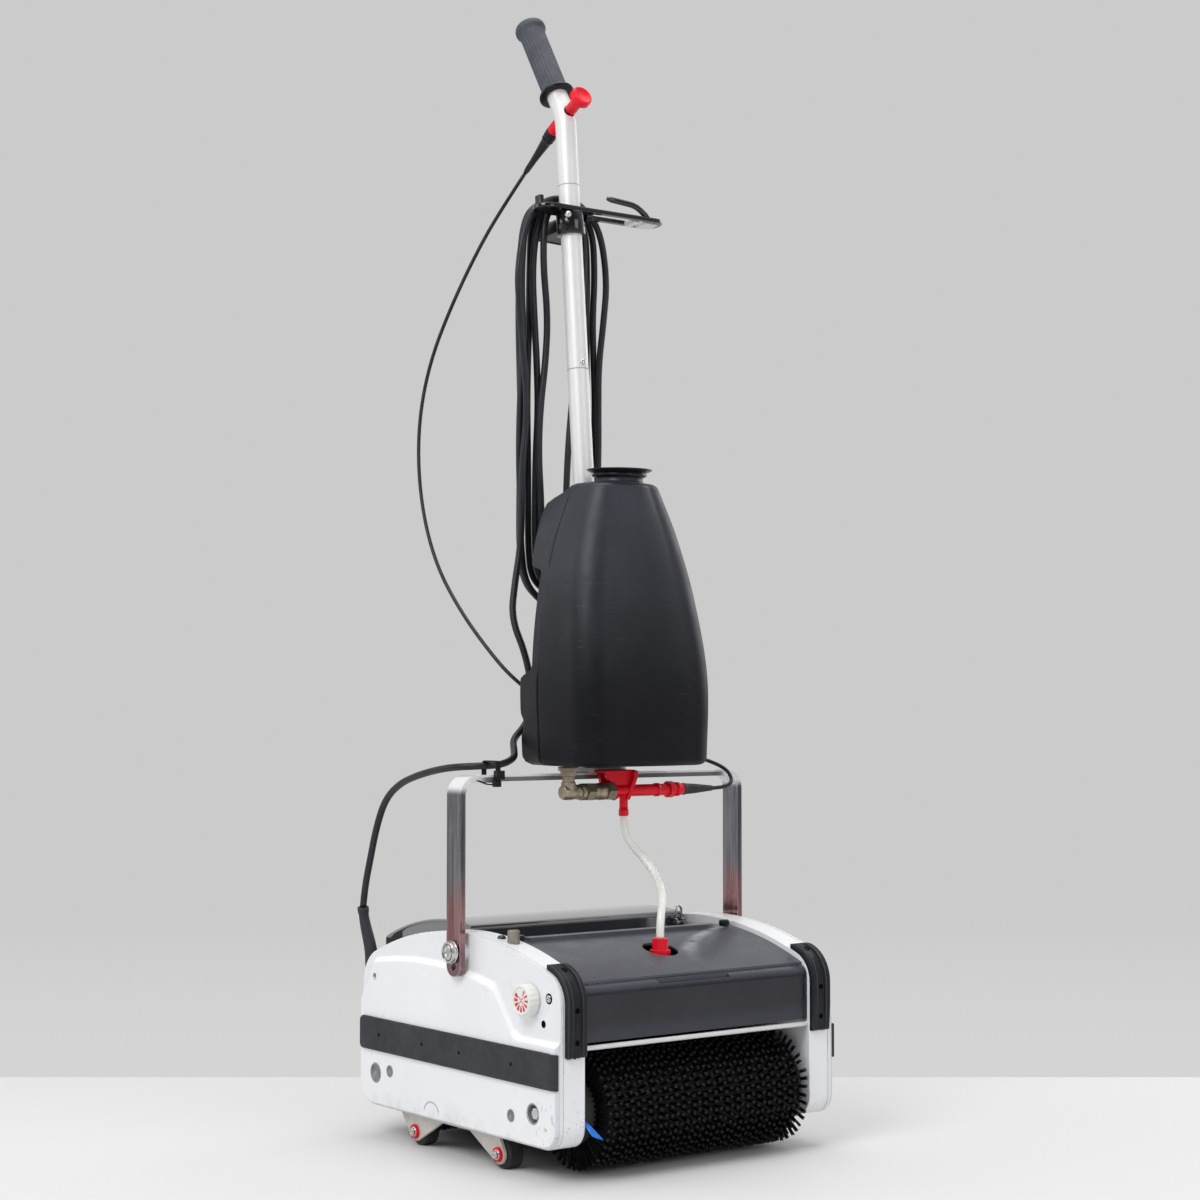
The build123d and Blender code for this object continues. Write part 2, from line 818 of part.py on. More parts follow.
# Top cover: an arched sheet, its rear ridge, and the deck a step below it
with BuildPart() as top_cover:
    with BuildSketch(Plane.YZ.offset(-cover_x)):
        with BuildLine():
            cover_mid = (cover_front + cover_rear) / 2
            spans = (cover_front, cover_mid, cover_rear)
            outer = ThreePointArc(*[(y, crown(y, cover_drop)) for y in spans])
            inner = ThreePointArc(*[(y, crown(y, cover_drop + cover_t)) for y in spans])
            Line(outer @ 0, inner @ 0)
            Line(outer @ 1, inner @ 1)
        make_face()
    extrude(amount=2 * cover_x)
    wall_high = crown(cover_rear, cover_drop) - cover_t / 2
    with Locations((0, cover_rear - cover_t / 2, (wall_high + step_z - cover_t) / 2)):
        Box(2 * cover_x, cover_t, wall_high - step_z + cover_t)
    with Locations((0, (cover_rear - cover_t + deck_rear) / 2, step_z - cover_t / 2)):
        Box(2 * cover_x, deck_rear - cover_rear + cover_t, cover_t)
    with Locations((0, cover_rear - ridge_w / 2, crown(cover_rear, cover_drop) + ridge_h / 2 - 1.0)):
        Box(2 * ridge_half, ridge_w, ridge_h + 2.0)
    with Locations((0, nipple_y, crown_z)):
        Cylinder(nipple_hole_r, 8 * cover_drop + 4 * cover_t, mode=Mode.SUBTRACT)
top_cover.part.label = "top_cover"
export_step(top_cover.part, "parts/top_cover.step")

# Knobs that hold the top cover
with BuildPart() as cover_knobs:
    knob_z = crown(knob_y - knob_r, cover_drop)
    with BuildSketch(Plane.XY.offset(crown(knob_y + knob_r, cover_drop))):
        with Locations((-knob_x, knob_y), (knob_x, knob_y)):
            Circle(knob_r)
    extrude(amount=knob_h)
    fillet(cover_knobs.edges().group_by(Axis.Z)[-1], knob_h / 3)
cover_knobs.part.label = "cover_knobs"
export_step(cover_knobs.part, "parts/cover_knobs.step")

# Front panel with its rounded top edge and finger notch
with BuildPart() as front_panel:
    with BuildSketch(Plane.YZ.offset(-cover_x)) as panel_profile:
        with BuildLine():
            Polyline(
                (panel_y, panel_low),
                (panel_y, panel_high),
                (panel_y + panel_depth, panel_high),
                (panel_y + panel_depth, panel_high - panel_t),
                (panel_y + panel_t, panel_high - panel_t),
                (panel_y + panel_t, panel_low),
                close=True,
            )
        make_face()
        fillet(panel_profile.vertices().sort_by_distance((panel_y, panel_high))[0], panel_round)
        inner_corner = (panel_y + panel_t, panel_high - panel_t)
        fillet(panel_profile.vertices().sort_by_distance(inner_corner)[0], panel_round - panel_t)
    extrude(amount=2 * cover_x)
    notch_mid = sum(panel_notch) / 2
    with Locations((notch_mid, panel_y, panel_high)):
        Box(panel_notch[1] - panel_notch[0], panel_depth, 2 * panel_notch_h, mode=Mode.SUBTRACT)
front_panel.part.label = "front_panel"
export_step(front_panel.part, "parts/front_panel.step")

# Rod below the panel that stops splashes
with BuildPart() as splash_bar:
    extrude(discs(-inner_x, [(panel_y + 1.0, bar_z)], bar_r), amount=2 * inner_x)
splash_bar.part.label = "splash_bar"
export_step(splash_bar.part, "parts/splash_bar.step")

# Deck plate under the motor
with BuildPart() as motor_deck:
    deck_front = panel_y + panel_t
    with Locations((0, (deck_front + deck_rear) / 2, deck_z + deck_t / 2)):
        Box(2 * inner_x, deck_rear - deck_front, deck_t)
    with Locations((0, nipple_y, deck_z)):
        Cylinder(riser_r + slide_clear, 4 * deck_t, mode=Mode.SUBTRACT)
motor_deck.part.label = "motor_deck"
export_step(motor_deck.part, "parts/motor_deck.step")

# Motor can, foot and gear case with its two output bores
with BuildPart() as drive_motor:
    extrude(discs(motor_left, [(motor_y, motor_z)], motor_r), amount=inner_x - gear_case - motor_left)
    fillet(drive_motor.faces().sort_by(Axis.X)[0].edges(), motor_r / 5)
    case_mid = (case_front + case_rear) / 2
    case_level = (case_low + case_high) / 2
    with Locations((inner_x - gear_case / 2, case_mid, case_level)):
        Box(gear_case, case_rear - case_front, case_high - case_low)
    foot_level = deck_z + deck_t
    with Locations((0, motor_y, (foot_level + motor_z) / 2)):
        Box(-motor_left, motor_r * 1.4, motor_z - foot_level)
    extrude(
        discs(inner_x, [front_drive, rear_drive], drive_shaft_r + run_clear),
        amount=-drive_bore,
        mode=Mode.SUBTRACT,
    )
drive_motor.part.label = "drive_motor"
export_step(drive_motor.part, "parts/drive_motor.step")

# Pulleys on the two motor outputs
output_in = inner_x - drive_bore + slide_clear
with BuildPart() as front_drive_pulley:
    extrude(discs(output_in, [front_drive], drive_shaft_r), amount=belt_plane - output_in + 1.0)
    extrude(discs(belt_plane, [front_drive], drive_pulley_r), amount=belt_w)
front_drive_pulley.part.label = "front_drive_pulley"
export_step(front_drive_pulley.part, "parts/front_drive_pulley.step")

with BuildPart() as rear_drive_pulley:
    extrude(discs(output_in, [rear_drive], drive_shaft_r), amount=belt_plane - output_in + 1.0)
    extrude(discs(belt_plane, [rear_drive], drive_pulley_r), amount=belt_w)
rear_drive_pulley.part.label = "rear_drive_pulley"
export_step(rear_drive_pulley.part, "parts/rear_drive_pulley.step")

# Belts from the motor to the brushes, and from the front brush to the drum
belt_runs = [
    (belt_plane, front_drive, drive_pulley_r, shaft_centres[0], brush_pulley_r),
    (belt_plane, rear_drive, drive_pulley_r, shaft_centres[2], brush_pulley_r),
    (second_plane, shaft_centres[0], brush_pulley_r, shaft_centres[1], drum_pulley_r),
]
with BuildPart() as drive_belts:
    for x, first, first_r, second, second_r in belt_runs:
        grown = run_clear + belt_t
        extrude(hull_of_discs(x, first, first_r + grown, second, second_r + grown), amount=belt_w)
    for x, first, first_r, second, second_r in belt_runs:
        inside = hull_of_discs(x, first, first_r + run_clear, second, second_r + run_clear)
        extrude(inside, amount=belt_w, mode=Mode.SUBTRACT)
drive_belts.part.label = "drive_belts"
export_step(drive_belts.part, "parts/drive_belts.step")

# Brush cores with their shafts and belt pulleys
with BuildPart() as front_brush_core:
    here = [shaft_centres[0]]
    extrude(discs(-brush_half, here, core_r), amount=2 * brush_half)
    extrude(discs(-bush_end, here, shaft_r), amount=bush_end + shaft_end)
    extrude(discs(belt_plane, here, brush_pulley_r), amount=belt_w)
    extrude(discs(second_plane, here, brush_pulley_r), amount=belt_w)
front_brush_core.part.label = "front_brush_core"
export_step(front_brush_core.part, "parts/front_brush_core.step")

with BuildPart() as rear_brush_core:
    here = [shaft_centres[2]]
    extrude(discs(-brush_half, here, core_r), amount=2 * brush_half)
    extrude(discs(-bush_end, here, shaft_r), amount=bush_end + belt_plane + belt_w + 1.0)
    extrude(discs(belt_plane, here, brush_pulley_r), amount=belt_w)
rear_brush_core.part.label = "rear_brush_core"
export_step(rear_brush_core.part, "parts/rear_brush_core.step")

# Bristle sleeves: tufts set in a thin backing sleeve
strand_len = brush_r - 0.1 - core_r - sleeve_t / 2
with BuildPart() as front_brush_bristles:
    extrude(discs(-brush_half + 2.0, [shaft_centres[0]], sleeve_r), amount=2 * brush_half - 4.0)
    extrude(
        discs(-brush_half, [shaft_centres[0]], core_r + run_clear),
        amount=2 * brush_half,
        mode=Mode.SUBTRACT,
    )
    with Locations(*ring_of_boxes(shaft_centres[0])):
        Box(strand_side, strand_side, strand_len)
front_brush_bristles.part.label = "front_brush_bristles"
export_step(front_brush_bristles.part, "parts/front_brush_bristles.step")

with BuildPart() as rear_brush_bristles:
    mirror(front_brush_bristles.part, about=Plane.XZ)
rear_brush_bristles.part.label = "rear_brush_bristles"
export_step(rear_brush_bristles.part, "parts/rear_brush_bristles.step")

# Pick-up drum between the brushes, with soft blades
with BuildPart() as pickup_drum:
    here = [shaft_centres[1]]
    extrude(discs(-brush_half, here, drum_core_r), amount=2 * brush_half)
    blade_places = []
    blade_mid = (drum_core_r + drum_r) / 2 - 1.0
    for n in range(drum_blades):
        angle = 360.0 / drum_blades * n
        spot = (0, -blade_mid * sin(radians(angle)), drum_z + blade_mid * cos(radians(angle)))
        blade_places.append(Location(spot, (angle, 0, 0)))
    with Locations(*blade_places):
        Box(2 * brush_half, drum_blade_t, drum_r - drum_core_r + 2.0)
    extrude(discs(-bush_end, here, shaft_r), amount=bush_end + shaft_end)
    extrude(discs(second_plane, here, drum_pulley_r), amount=belt_w)
pickup_drum.part.label = "pickup_drum"
export_step(pickup_drum.part, "parts/pickup_drum.step")

# Water spreader: a pipe across the front brush, fed by a riser
with BuildPart() as spray_manifold:
    extrude(discs(-spray_half, [(nipple_y, spray_z)], spray_r), amount=2 * spray_half)
    with BuildSketch(Plane.XY.offset(spray_z)):
        with Locations((0, nipple_y)):
            Circle(riser_r)
    extrude(amount=nipple_low - spray_z)
spray_manifold.part.label = "spray_manifold"
export_step(spray_manifold.part, "parts/spray_manifold.step")

# Hose nipple on the riser
with BuildPart() as hose_nipple:
    with BuildSketch(Plane.XY.offset(nipple_low)):
        with Locations((0, nipple_y)):
            Circle(nipple_foot_r)
    extrude(amount=nipple_foot)
    with BuildSketch(Plane.XY.offset(nipple_low + nipple_foot)):
        with Locations((0, nipple_y)):
            Circle(nipple_r)
    extrude(amount=nipple_top - nipple_low - nipple_foot)
hose_nipple.part.label = "hose_nipple"
export_step(hose_nipple.part, "parts/hose_nipple.step")

# Recovery tub, open at the top, with an inlet slot in its front wall
with BuildPart() as recovery_tank:
    with BuildSketch(Plane.YZ.offset(-tank_x)) as tub:
        with Locations(((tank_y0 + tank_y1) / 2, (tank_low + tank_high) / 2)):
            Rectangle(tank_y1 - tank_y0, tank_high - tank_low)
        fillet(tub.vertices().sort_by_distance((tank_y1, tank_low))[0], tank_corner_r)
        fillet(tub.vertices().sort_by_distance((tank_y0, tank_low))[0], tank_corner_r / 3)
    extrude(amount=2 * tank_x)
    with BuildSketch(Plane.YZ.offset(-tank_x + tank_wall)) as room:
        with Locations(((tank_y0 + tank_y1) / 2, (tank_low + tank_wall + tank_high) / 2)):
            Rectangle(tank_y1 - tank_y0 - 2 * tank_wall, tank_high - tank_low - tank_wall)
        fillet(room.vertices().sort_by_distance((tank_y1, tank_low))[0], tank_corner_r - tank_wall)
        fillet(room.vertices().sort_by_distance((tank_y0, tank_low))[0], tank_corner_r / 3 - tank_wall)
    extrude(amount=2 * (tank_x - tank_wall), mode=Mode.SUBTRACT)
    with Locations((0, tank_y0, (inlet_low + inlet_high) / 2)):
        Box(2 * inlet_half, 4 * tank_wall, inlet_high - inlet_low, mode=Mode.SUBTRACT)
recovery_tank.part.label = "recovery_tank"
export_step(recovery_tank.part, "parts/recovery_tank.step")

# Lid of the recovery tub, with two ears for its latch
with BuildPart() as recovery_lid:
    with BuildSketch(Plane.YZ.offset(-tank_x)) as lid_profile:
        with BuildLine():
            ThreePointArc((tank_y0, lid_front_z), lid_mid, (tank_y1, lid_rear_z))
            Polyline(
                (tank_y1, lid_rear_z), (tank_y1, tank_high), (tank_y0, tank_high), (tank_y0, lid_front_z)
            )
        make_face()
    extrude(amount=2 * tank_x)
    top_face = recovery_lid.faces().filter_by(GeomType.CYLINDER)[0]
    fillet(top_face.edges().filter_by(lambda e: e.center().Y < tank_y1 - 1.0), lid_edge_r)
    with BuildSketch(Plane.YZ.offset(-tank_x + tank_wall)) as lid_room:
        with BuildLine():
            roof = [
                (tank_y0 + tank_wall, lid_front_z - tank_wall),
                (lid_mid[0], lid_mid[1] - tank_wall),
                (tank_y1 - tank_wall, lid_rear_z - tank_wall + 0.5),
            ]
            ThreePointArc(*roof)
            room_low = tank_high - 1.0
            Polyline(
                roof[2],
                (tank_y1 - tank_wall, room_low),
                (tank_y0 + tank_wall, room_low),
                roof[0],
            )
        make_face()
    extrude(amount=2 * (tank_x - tank_wall), mode=Mode.SUBTRACT)
    ear_start = latch_x - latch_w / 2 - slide_clear - ear_t
    for ear_x in (ear_start, latch_x + latch_w / 2 + slide_clear):
        with BuildSketch(Plane.YZ.offset(ear_x)):
            with Locations((latch_y, latch_z)):
                Circle(ear_r)
            with Locations(((latch_y + tank_y0) / 2, latch_z)):
                Rectangle(tank_y0 - latch_y, 2 * ear_r)
            with Locations((latch_y, latch_z)):
                Circle(latch_pin_r + run_clear, mode=Mode.SUBTRACT)
        extrude(amount=ear_t)
recovery_lid.part.label = "recovery_lid"
export_step(recovery_lid.part, "parts/recovery_lid.step")

# Latch loop with its pin
with BuildPart() as lid_latch:
    with BuildSketch(Plane.YZ.offset(latch_x - latch_w / 2)):
        with Locations((latch_y, latch_z + (latch_h - latch_t) / 2)):
            SlotOverall(latch_h, latch_t, rotation=90)
    extrude(amount=latch_w)
    with BuildSketch(Plane.XZ.offset(latch_t - latch_y)):
        with Locations((latch_x, latch_z + (latch_h - latch_t) / 2)):
            SlotOverall(latch_h - 2.5 * latch_t, latch_w - 2 * latch_wire, rotation=90)
    extrude(amount=-2 * latch_t, mode=Mode.SUBTRACT)
    extrude(discs(ear_start, [(latch_y, latch_z)], latch_pin_r), amount=2 * (latch_x - ear_start))
lid_latch.part.label = "lid_latch"
export_step(lid_latch.part, "parts/lid_latch.step")

# Wheel brackets: a flange under each casting and two legs to the axles
plate_in = wheel_out + wheel_gap
bracket_top = body_z
with BuildPart() as wheel_brackets:
    for axle_y, foot_mid, foot_len in zip(wheel_y, bracket_feet, bracket_lens):
        with BuildSketch(Plane.YZ.offset(-plate_in)):
            with Locations((axle_y, wheel_r)):
                Circle(bracket_eye_r)
            with Locations((foot_mid, bracket_top - bracket_t / 2)):
                Rectangle(foot_len, bracket_t)
            make_hull()
            with Locations((axle_y, wheel_r)):
                Circle(axle_r + run_clear, mode=Mode.SUBTRACT)
        extrude(amount=-bracket_t)
    flange_front = bracket_feet[0] - bracket_lens[0] / 2
    flange_rear = bracket_feet[1] + bracket_lens[1] / 2
    flange_mid_x = -plate_in - bracket_t + bracket_flange_w / 2
    with Locations((flange_mid_x, (flange_front + flange_rear) / 2, bracket_top - bracket_t / 2)):
        Box(bracket_flange_w, flange_rear - flange_front, bracket_t)
    mirror(about=Plane.YZ)
wheel_brackets.part.label = "wheel_brackets"
export_step(wheel_brackets.part, "parts/wheel_brackets.step")

# Axle bolts
axle_centres = [(y, wheel_r) for y in wheel_y]
bush_face = plate_in + bracket_t + red_bush_t
axle_end = wheel_out - wheel_w - wheel_gap
with BuildPart() as wheel_axles:
    extrude(discs(-axle_end + 2.0, axle_centres, axle_r), amount=axle_end - 2.0 - bush_face)
    extrude(discs(-axle_end, axle_centres, axle_head_r + 1.0), amount=2.0)
    extrude(discs(-bush_face, axle_centres, axle_head_r), amount=-axle_head)
    mirror(about=Plane.YZ)
wheel_axles.part.label = "wheel_axles"
export_step(wheel_axles.part, "parts/wheel_axles.step")

# Bushes between the bracket plates and the axle heads
with BuildPart() as wheel_bushes:
    extrude(discs(-bush_face, axle_centres, red_bush_r), amount=red_bush_t)
    extrude(discs(-bush_face, axle_centres, axle_r + run_clear), amount=red_bush_t, mode=Mode.SUBTRACT)
    mirror(about=Plane.YZ)
wheel_bushes.part.label = "wheel_bushes"
export_step(wheel_bushes.part, "parts/wheel_bushes.step")

# Wheels
with BuildPart() as front_left_wheel:
    extrude(discs(-wheel_out, [axle_centres[0]], wheel_r), amount=wheel_w)
    fillet(front_left_wheel.edges().filter_by(GeomType.CIRCLE), wheel_w / 7)
    extrude(discs(-wheel_out, [axle_centres[0]], axle_r + run_clear), amount=wheel_w, mode=Mode.SUBTRACT)
front_left_wheel.part.label = "front_left_wheel"
export_step(front_left_wheel.part, "parts/front_left_wheel.step")

with BuildPart() as front_right_wheel:
    mirror(front_left_wheel.part, about=Plane.YZ)
front_right_wheel.part.label = "front_right_wheel"
export_step(front_right_wheel.part, "parts/front_right_wheel.step")

with BuildPart() as rear_left_wheel:
    extrude(discs(-wheel_out, [axle_centres[1]], wheel_r), amount=wheel_w)
    fillet(rear_left_wheel.edges().filter_by(GeomType.CIRCLE), wheel_w / 7)
    extrude(discs(-wheel_out, [axle_centres[1]], axle_r + run_clear), amount=wheel_w, mode=Mode.SUBTRACT)
rear_left_wheel.part.label = "rear_left_wheel"
export_step(rear_left_wheel.part, "parts/rear_left_wheel.step")

with BuildPart() as rear_right_wheel:
    mirror(rear_left_wheel.part, about=Plane.YZ)
rear_right_wheel.part.label = "rear_right_wheel"
export_step(rear_right_wheel.part, "parts/rear_right_wheel.step")

# Fluted dial with its spindle
with BuildPart() as dial_knob:
    with BuildSketch(Plane.YZ.offset(-inset_x - slide_clear)):
        with Locations((dial_y, dial_z)):
            Circle(dial_r)
            with PolarLocations(dial_r, dial_flutes):
                Circle(dial_flute_r, mode=Mode.SUBTRACT)
    extrude(amount=-dial_t)
    extrude(discs(-inset_x - slide_clear, [(dial_y, dial_z)], spindle_r), amount=spindle_len)
    dial_face = -inset_x - slide_clear - dial_t
    dial_sink = discs(dial_face, [(dial_y, dial_z)], dial_r - dial_rim)
    extrude(dial_sink, amount=dial_recess, mode=Mode.SUBTRACT)
dial_knob.part.label = "dial_knob"
export_step(dial_knob.part, "parts/dial_knob.step")

# Foot switch: a stud through the rim with a flange under it
with BuildPart() as foot_switch_button:
    with BuildSketch(Plane.XY.offset(switch_flange_z)):
        with Locations((-switch_x, switch_y)):
            Circle(switch_flange_r)
    extrude(amount=switch_flange)
    with BuildSketch(Plane.XY.offset(switch_flange_z)):
        with Locations((-switch_x, switch_y)):
            Circle(switch_r)
    extrude(amount=switch_top - switch_flange_z)
    fillet(foot_switch_button.edges().group_by(Axis.Z)[-1], 1.5)
foot_switch_button.part.label = "foot_switch_button"
export_step(foot_switch_button.part, "parts/foot_switch_button.step")

# Bail: a flat bar bent to a U, with a slot at each pivot
with BuildPart() as bail:
    with BuildSketch(Plane.XZ.offset(-bail_y - bail_w / 2)) as bow:
        with Locations((0, (bail_low + bail_top) / 2)):
            Rectangle(2 * bail_out, bail_top - bail_low)
        fillet(bow.vertices().group_by(Axis.Y)[-1], bail_bend_r)
    extrude(amount=bail_w)
    with BuildSketch(Plane.XZ.offset(-bail_y - bail_w / 2)) as gap:
        with Locations((0, (bail_low + bail_top - bail_t) / 2)):
            Rectangle(2 * bail_in, bail_top - bail_t - bail_low)
        fillet(gap.vertices().group_by(Axis.Y)[-1], bail_bend_r - bail_t)
    extrude(amount=bail_w, mode=Mode.SUBTRACT)
    leg_ends = bail.edges().filter_by(Axis.X).group_by(Axis.Z)[0]
    fillet(leg_ends, bail_w / 2 - 1.0)
    with BuildSketch(Plane.YZ):
        with Locations((bail_y, pivot_z - bail_slot / 2)):
            SlotCenterToCenter(bail_slot, 2 * (pivot_r + run_clear), rotation=90)
    extrude(amount=bail_out + 1.0, both=True, mode=Mode.SUBTRACT)
bail.part.label = "bail"
export_step(bail.part, "parts/bail.step")

# Pivot bolts and the washers that hold the bail off the side covers
head_in = bail_out + slide_clear
with BuildPart() as pivot_bolts:
    extrude(discs(-inner_x, [(bail_y, pivot_z)], pivot_r), amount=inner_x - head_in)
    extrude(discs(-head_in, [(bail_y, pivot_z)], pivot_head_r), amount=-pivot_head)
    fillet(pivot_bolts.faces().sort_by(Axis.X)[0].edges(), pivot_head / 3)
    washer_len = inset_x - bail_in + slide_clear
    with BuildSketch(Plane.YZ.offset(-inset_x)):
        with Locations((bail_y, pivot_z)):
            Circle(washer_r)
            Circle(pivot_r + run_clear, mode=Mode.SUBTRACT)
    extrude(amount=washer_len)
    mirror(about=Plane.YZ)
pivot_bolts.part.label = "pivot_bolts"
export_step(pivot_bolts.part, "parts/pivot_bolts.step")

# Foot that holds the tube on the bail, and the spigots inside the joints of the tube
tube_start = foot_plate + 2.0
with BuildPart() as tube_joints:
    with Locations((0, bail_y, bail_top + foot_plate / 2)):
        Box(2 * foot_half, bail_w, foot_plate)
    with BuildSketch(tube_plane.offset(foot_plate - 1.5)):
        Circle(foot_r)
    extrude(amount=foot_h)
    with BuildSketch(tube_plane.offset(tube_start)):
        Circle(tube_r + run_clear)
    extrude(amount=2 * foot_h, mode=Mode.SUBTRACT)
    for joint_at in (lower_len, lower_len + middle_len):
        with BuildSketch(tube_plane.offset(joint_at - spigot_half)):
            Circle(tube_r - tube_wall - run_clear)
        extrude(amount=2 * spigot_half)
tube_joints.part.label = "tube_joints"
export_step(tube_joints.part, "parts/tube_joints.step")

# Handle tube in three lengths
with BuildPart() as lower_tube:
    with BuildSketch(tube_plane.offset(tube_start)):
        Circle(tube_r)
        Circle(tube_r - tube_wall, mode=Mode.SUBTRACT)
    extrude(amount=lower_len - tube_start)
lower_tube.part.label = "lower_tube"
export_step(lower_tube.part, "parts/lower_tube.step")

with BuildPart() as middle_tube:
    with BuildSketch(tube_plane.offset(lower_len)):
        Circle(tube_r)
        Circle(tube_r - tube_wall, mode=Mode.SUBTRACT)
    extrude(amount=middle_len)
middle_tube.part.label = "middle_tube"
export_step(middle_tube.part, "parts/middle_tube.step")

with BuildPart() as upper_tube:
    with BuildLine() as upper_path:
        FilletPolyline(tube_point(lower_len + middle_len), bend_point, tube_end, radius=bend_r)
    with BuildSketch(tube_plane.offset(lower_len + middle_len)):
        Circle(tube_r)
        Circle(tube_r - tube_wall, mode=Mode.SUBTRACT)
    sweep(path=upper_path.wire())
    with BuildSketch(trigger_plane):
        Circle(trigger_stem_r + slide_clear)
    extrude(amount=2 * tube_r, mode=Mode.SUBTRACT)
    with BuildSketch(trigger_plane):
        Circle(socket_r + run_clear)
    extrude(amount=-2 * tube_r, mode=Mode.SUBTRACT)
upper_tube.part.label = "upper_tube"
export_step(upper_tube.part, "parts/upper_tube.step")

# Grip with lower flange, lengthwise grooves and closed end
with BuildPart() as grip:
    with BuildSketch(grip_plane.offset(grip_from)):
        Circle(grip_r)
        with PolarLocations(grip_r, grip_grooves):
            Rectangle(2 * grip_groove, grip_groove_w, mode=Mode.SUBTRACT)
    extrude(amount=grip_len - grip_end)
    with BuildSketch(grip_plane.offset(grip_from)):
        Circle(grip_flange_r)
    extrude(amount=grip_flange)
    with BuildSketch(grip_plane.offset(grip_from + grip_len - grip_end)):
        Circle(grip_end_r)
    extrude(amount=grip_end)
    with BuildSketch(grip_plane.offset(grip_from)):
        Circle(tube_r + run_clear)
    extrude(amount=end_len - grip_from + run_clear, mode=Mode.SUBTRACT)
    end_face = grip.faces().sort_by(Axis((0, 0, 0), grip_way))[-1]
    fillet(end_face.edges(), grip_end / 2.5)
grip.part.label = "grip"
export_step(grip.part, "parts/grip.step")

# Trigger button with its push rod
with BuildPart() as trigger_button:
    with BuildSketch(trigger_plane.offset(trigger_rod_to)):
        Circle(trigger_rod_r)
    extrude(amount=trigger_stem_from - trigger_rod_to)
    with BuildSketch(trigger_plane.offset(trigger_stem_from)):
        Circle(trigger_stem_r)
    extrude(amount=trigger_stem_to - trigger_stem_from)
    with BuildSketch(trigger_plane.offset(trigger_stem_to)):
        Circle(trigger_cap_r)
    extrude(amount=trigger_cap)
    cap_face = trigger_button.faces().sort_by(Axis((0, 0, 0), trigger_way))[-1]
    fillet(cap_face.edges(), trigger_cap / 3)
trigger_button.part.label = "trigger_button"
export_step(trigger_button.part, "parts/trigger_button.step")

# Red socket behind the bend, bored for the push rod
with BuildPart() as trigger_socket:
    with BuildSketch(trigger_plane.offset(socket_from)):
        Circle(socket_r)
    extrude(amount=socket_to - socket_from)
    with BuildSketch(trigger_plane.offset(socket_from)):
        Circle(trigger_rod_r + slide_clear)
    extrude(amount=socket_to - socket_from + 2.0, mode=Mode.SUBTRACT)
trigger_socket.part.label = "trigger_socket"
export_step(trigger_socket.part, "parts/trigger_socket.step")

# Cable hook: collar, hairpin arm with tab and finger, and the saddle behind
with BuildPart() as cable_hook:
    with BuildSketch(tube_plane.offset(collar_at)):
        Circle(tube_r + collar_wall)
    extrude(amount=collar_len)
    with BuildSketch(tube_plane.offset(arm_at)):
        with Locations(((arm_left + arm_right) / 2, 0)):
            SlotOverall(arm_right - arm_left, arm_w)
        with Locations((sum(arm_slot) / 2, 0)):
            SlotOverall(arm_slot[1] - arm_slot[0], arm_slot_w, mode=Mode.SUBTRACT)
    extrude(amount=arm_t)
    with BuildSketch(tube_plane.offset(arm_at)):
        with Locations((arm_left + arm_tab, 0)):
            Rectangle(arm_tab, arm_w / 3)
    extrude(amount=arm_t + arm_tab_h)
    finger_y = -(arm_w + arm_slot_w) / 4
    finger_start = tube_plane.offset(arm_at).from_local_coords((0, finger_y - finger_w / 2, 0))
    finger_plane = Plane(finger_start, (1, 0, 0), (0, -1, 0))
    with BuildSketch(finger_plane):
        with BuildLine():
            Polyline(
                (finger[0], arm_t / 2),
                (finger[0] + finger_t, arm_t),
                (finger[1], arm_t + finger_rise + finger_t),
                (finger[1], arm_t + finger_rise),
                close=True,
            )
        make_face()
    extrude(amount=-finger_w)
    saddle_plane = Plane(tube_plane.from_local_coords((hank_x, 0, saddle_mid)), (1, 0, 0), (0, -1, 0))
    with BuildSketch(saddle_plane):
        Circle(saddle_r)
        with Locations((0, -saddle_r)):
            Rectangle(4 * saddle_r, saddle_r * 1.4, mode=Mode.SUBTRACT)
    extrude(amount=-(tube_r + saddle_len))
    with BuildSketch(saddle_plane.offset(-(tube_r + saddle_len))):
        Circle(saddle_lip_r)
        with Locations((0, -saddle_lip_r)):
            Rectangle(4 * saddle_r, saddle_lip_r * 1.4, mode=Mode.SUBTRACT)
    extrude(amount=-saddle_lip)
    with BuildSketch(tube_plane.offset(collar_at - collar_len)):
        Circle(tube_r + run_clear)
    extrude(amount=3 * collar_len + arm_tab_h, mode=Mode.SUBTRACT)
cable_hook.part.label = "cable_hook"
export_step(cable_hook.part, "parts/cable_hook.step")

# Water tank, front half: hollow, with a filler neck
with BuildPart() as tank_front:
    loft([tank_section(*row) for row in tank_sections])
    base_edges = tank_front.faces().sort_by(Axis.Z)[0].edges().sort_by(Axis.Y)
    fillet(base_edges[:-1], tank_base_r)
    hollow = []
    for n, (height, half, front, corner) in enumerate(tank_sections):
        lift = water_wall if n == 0 else (-water_wall if n == len(tank_sections) - 1 else 0.0)
        hollow.append(tank_section(height + lift, half, front, corner, water_wall))
    loft(hollow, mode=Mode.SUBTRACT)
    tank_top = tank_sections[-1][0]
    with BuildSketch(Plane.XY.offset(tank_top)):
        with Locations((0, neck_y)):
            Circle(neck_r + neck_wall)
    extrude(amount=neck_h)
    with BuildSketch(Plane.XY.offset(tank_top - 2 * water_wall)):
        with Locations((0, neck_y)):
            Circle(neck_r)
    extrude(amount=neck_h + 2 * water_wall, mode=Mode.SUBTRACT)
tank_front.part.label = "tank_front"
export_step(tank_front.part, "parts/tank_front.step")

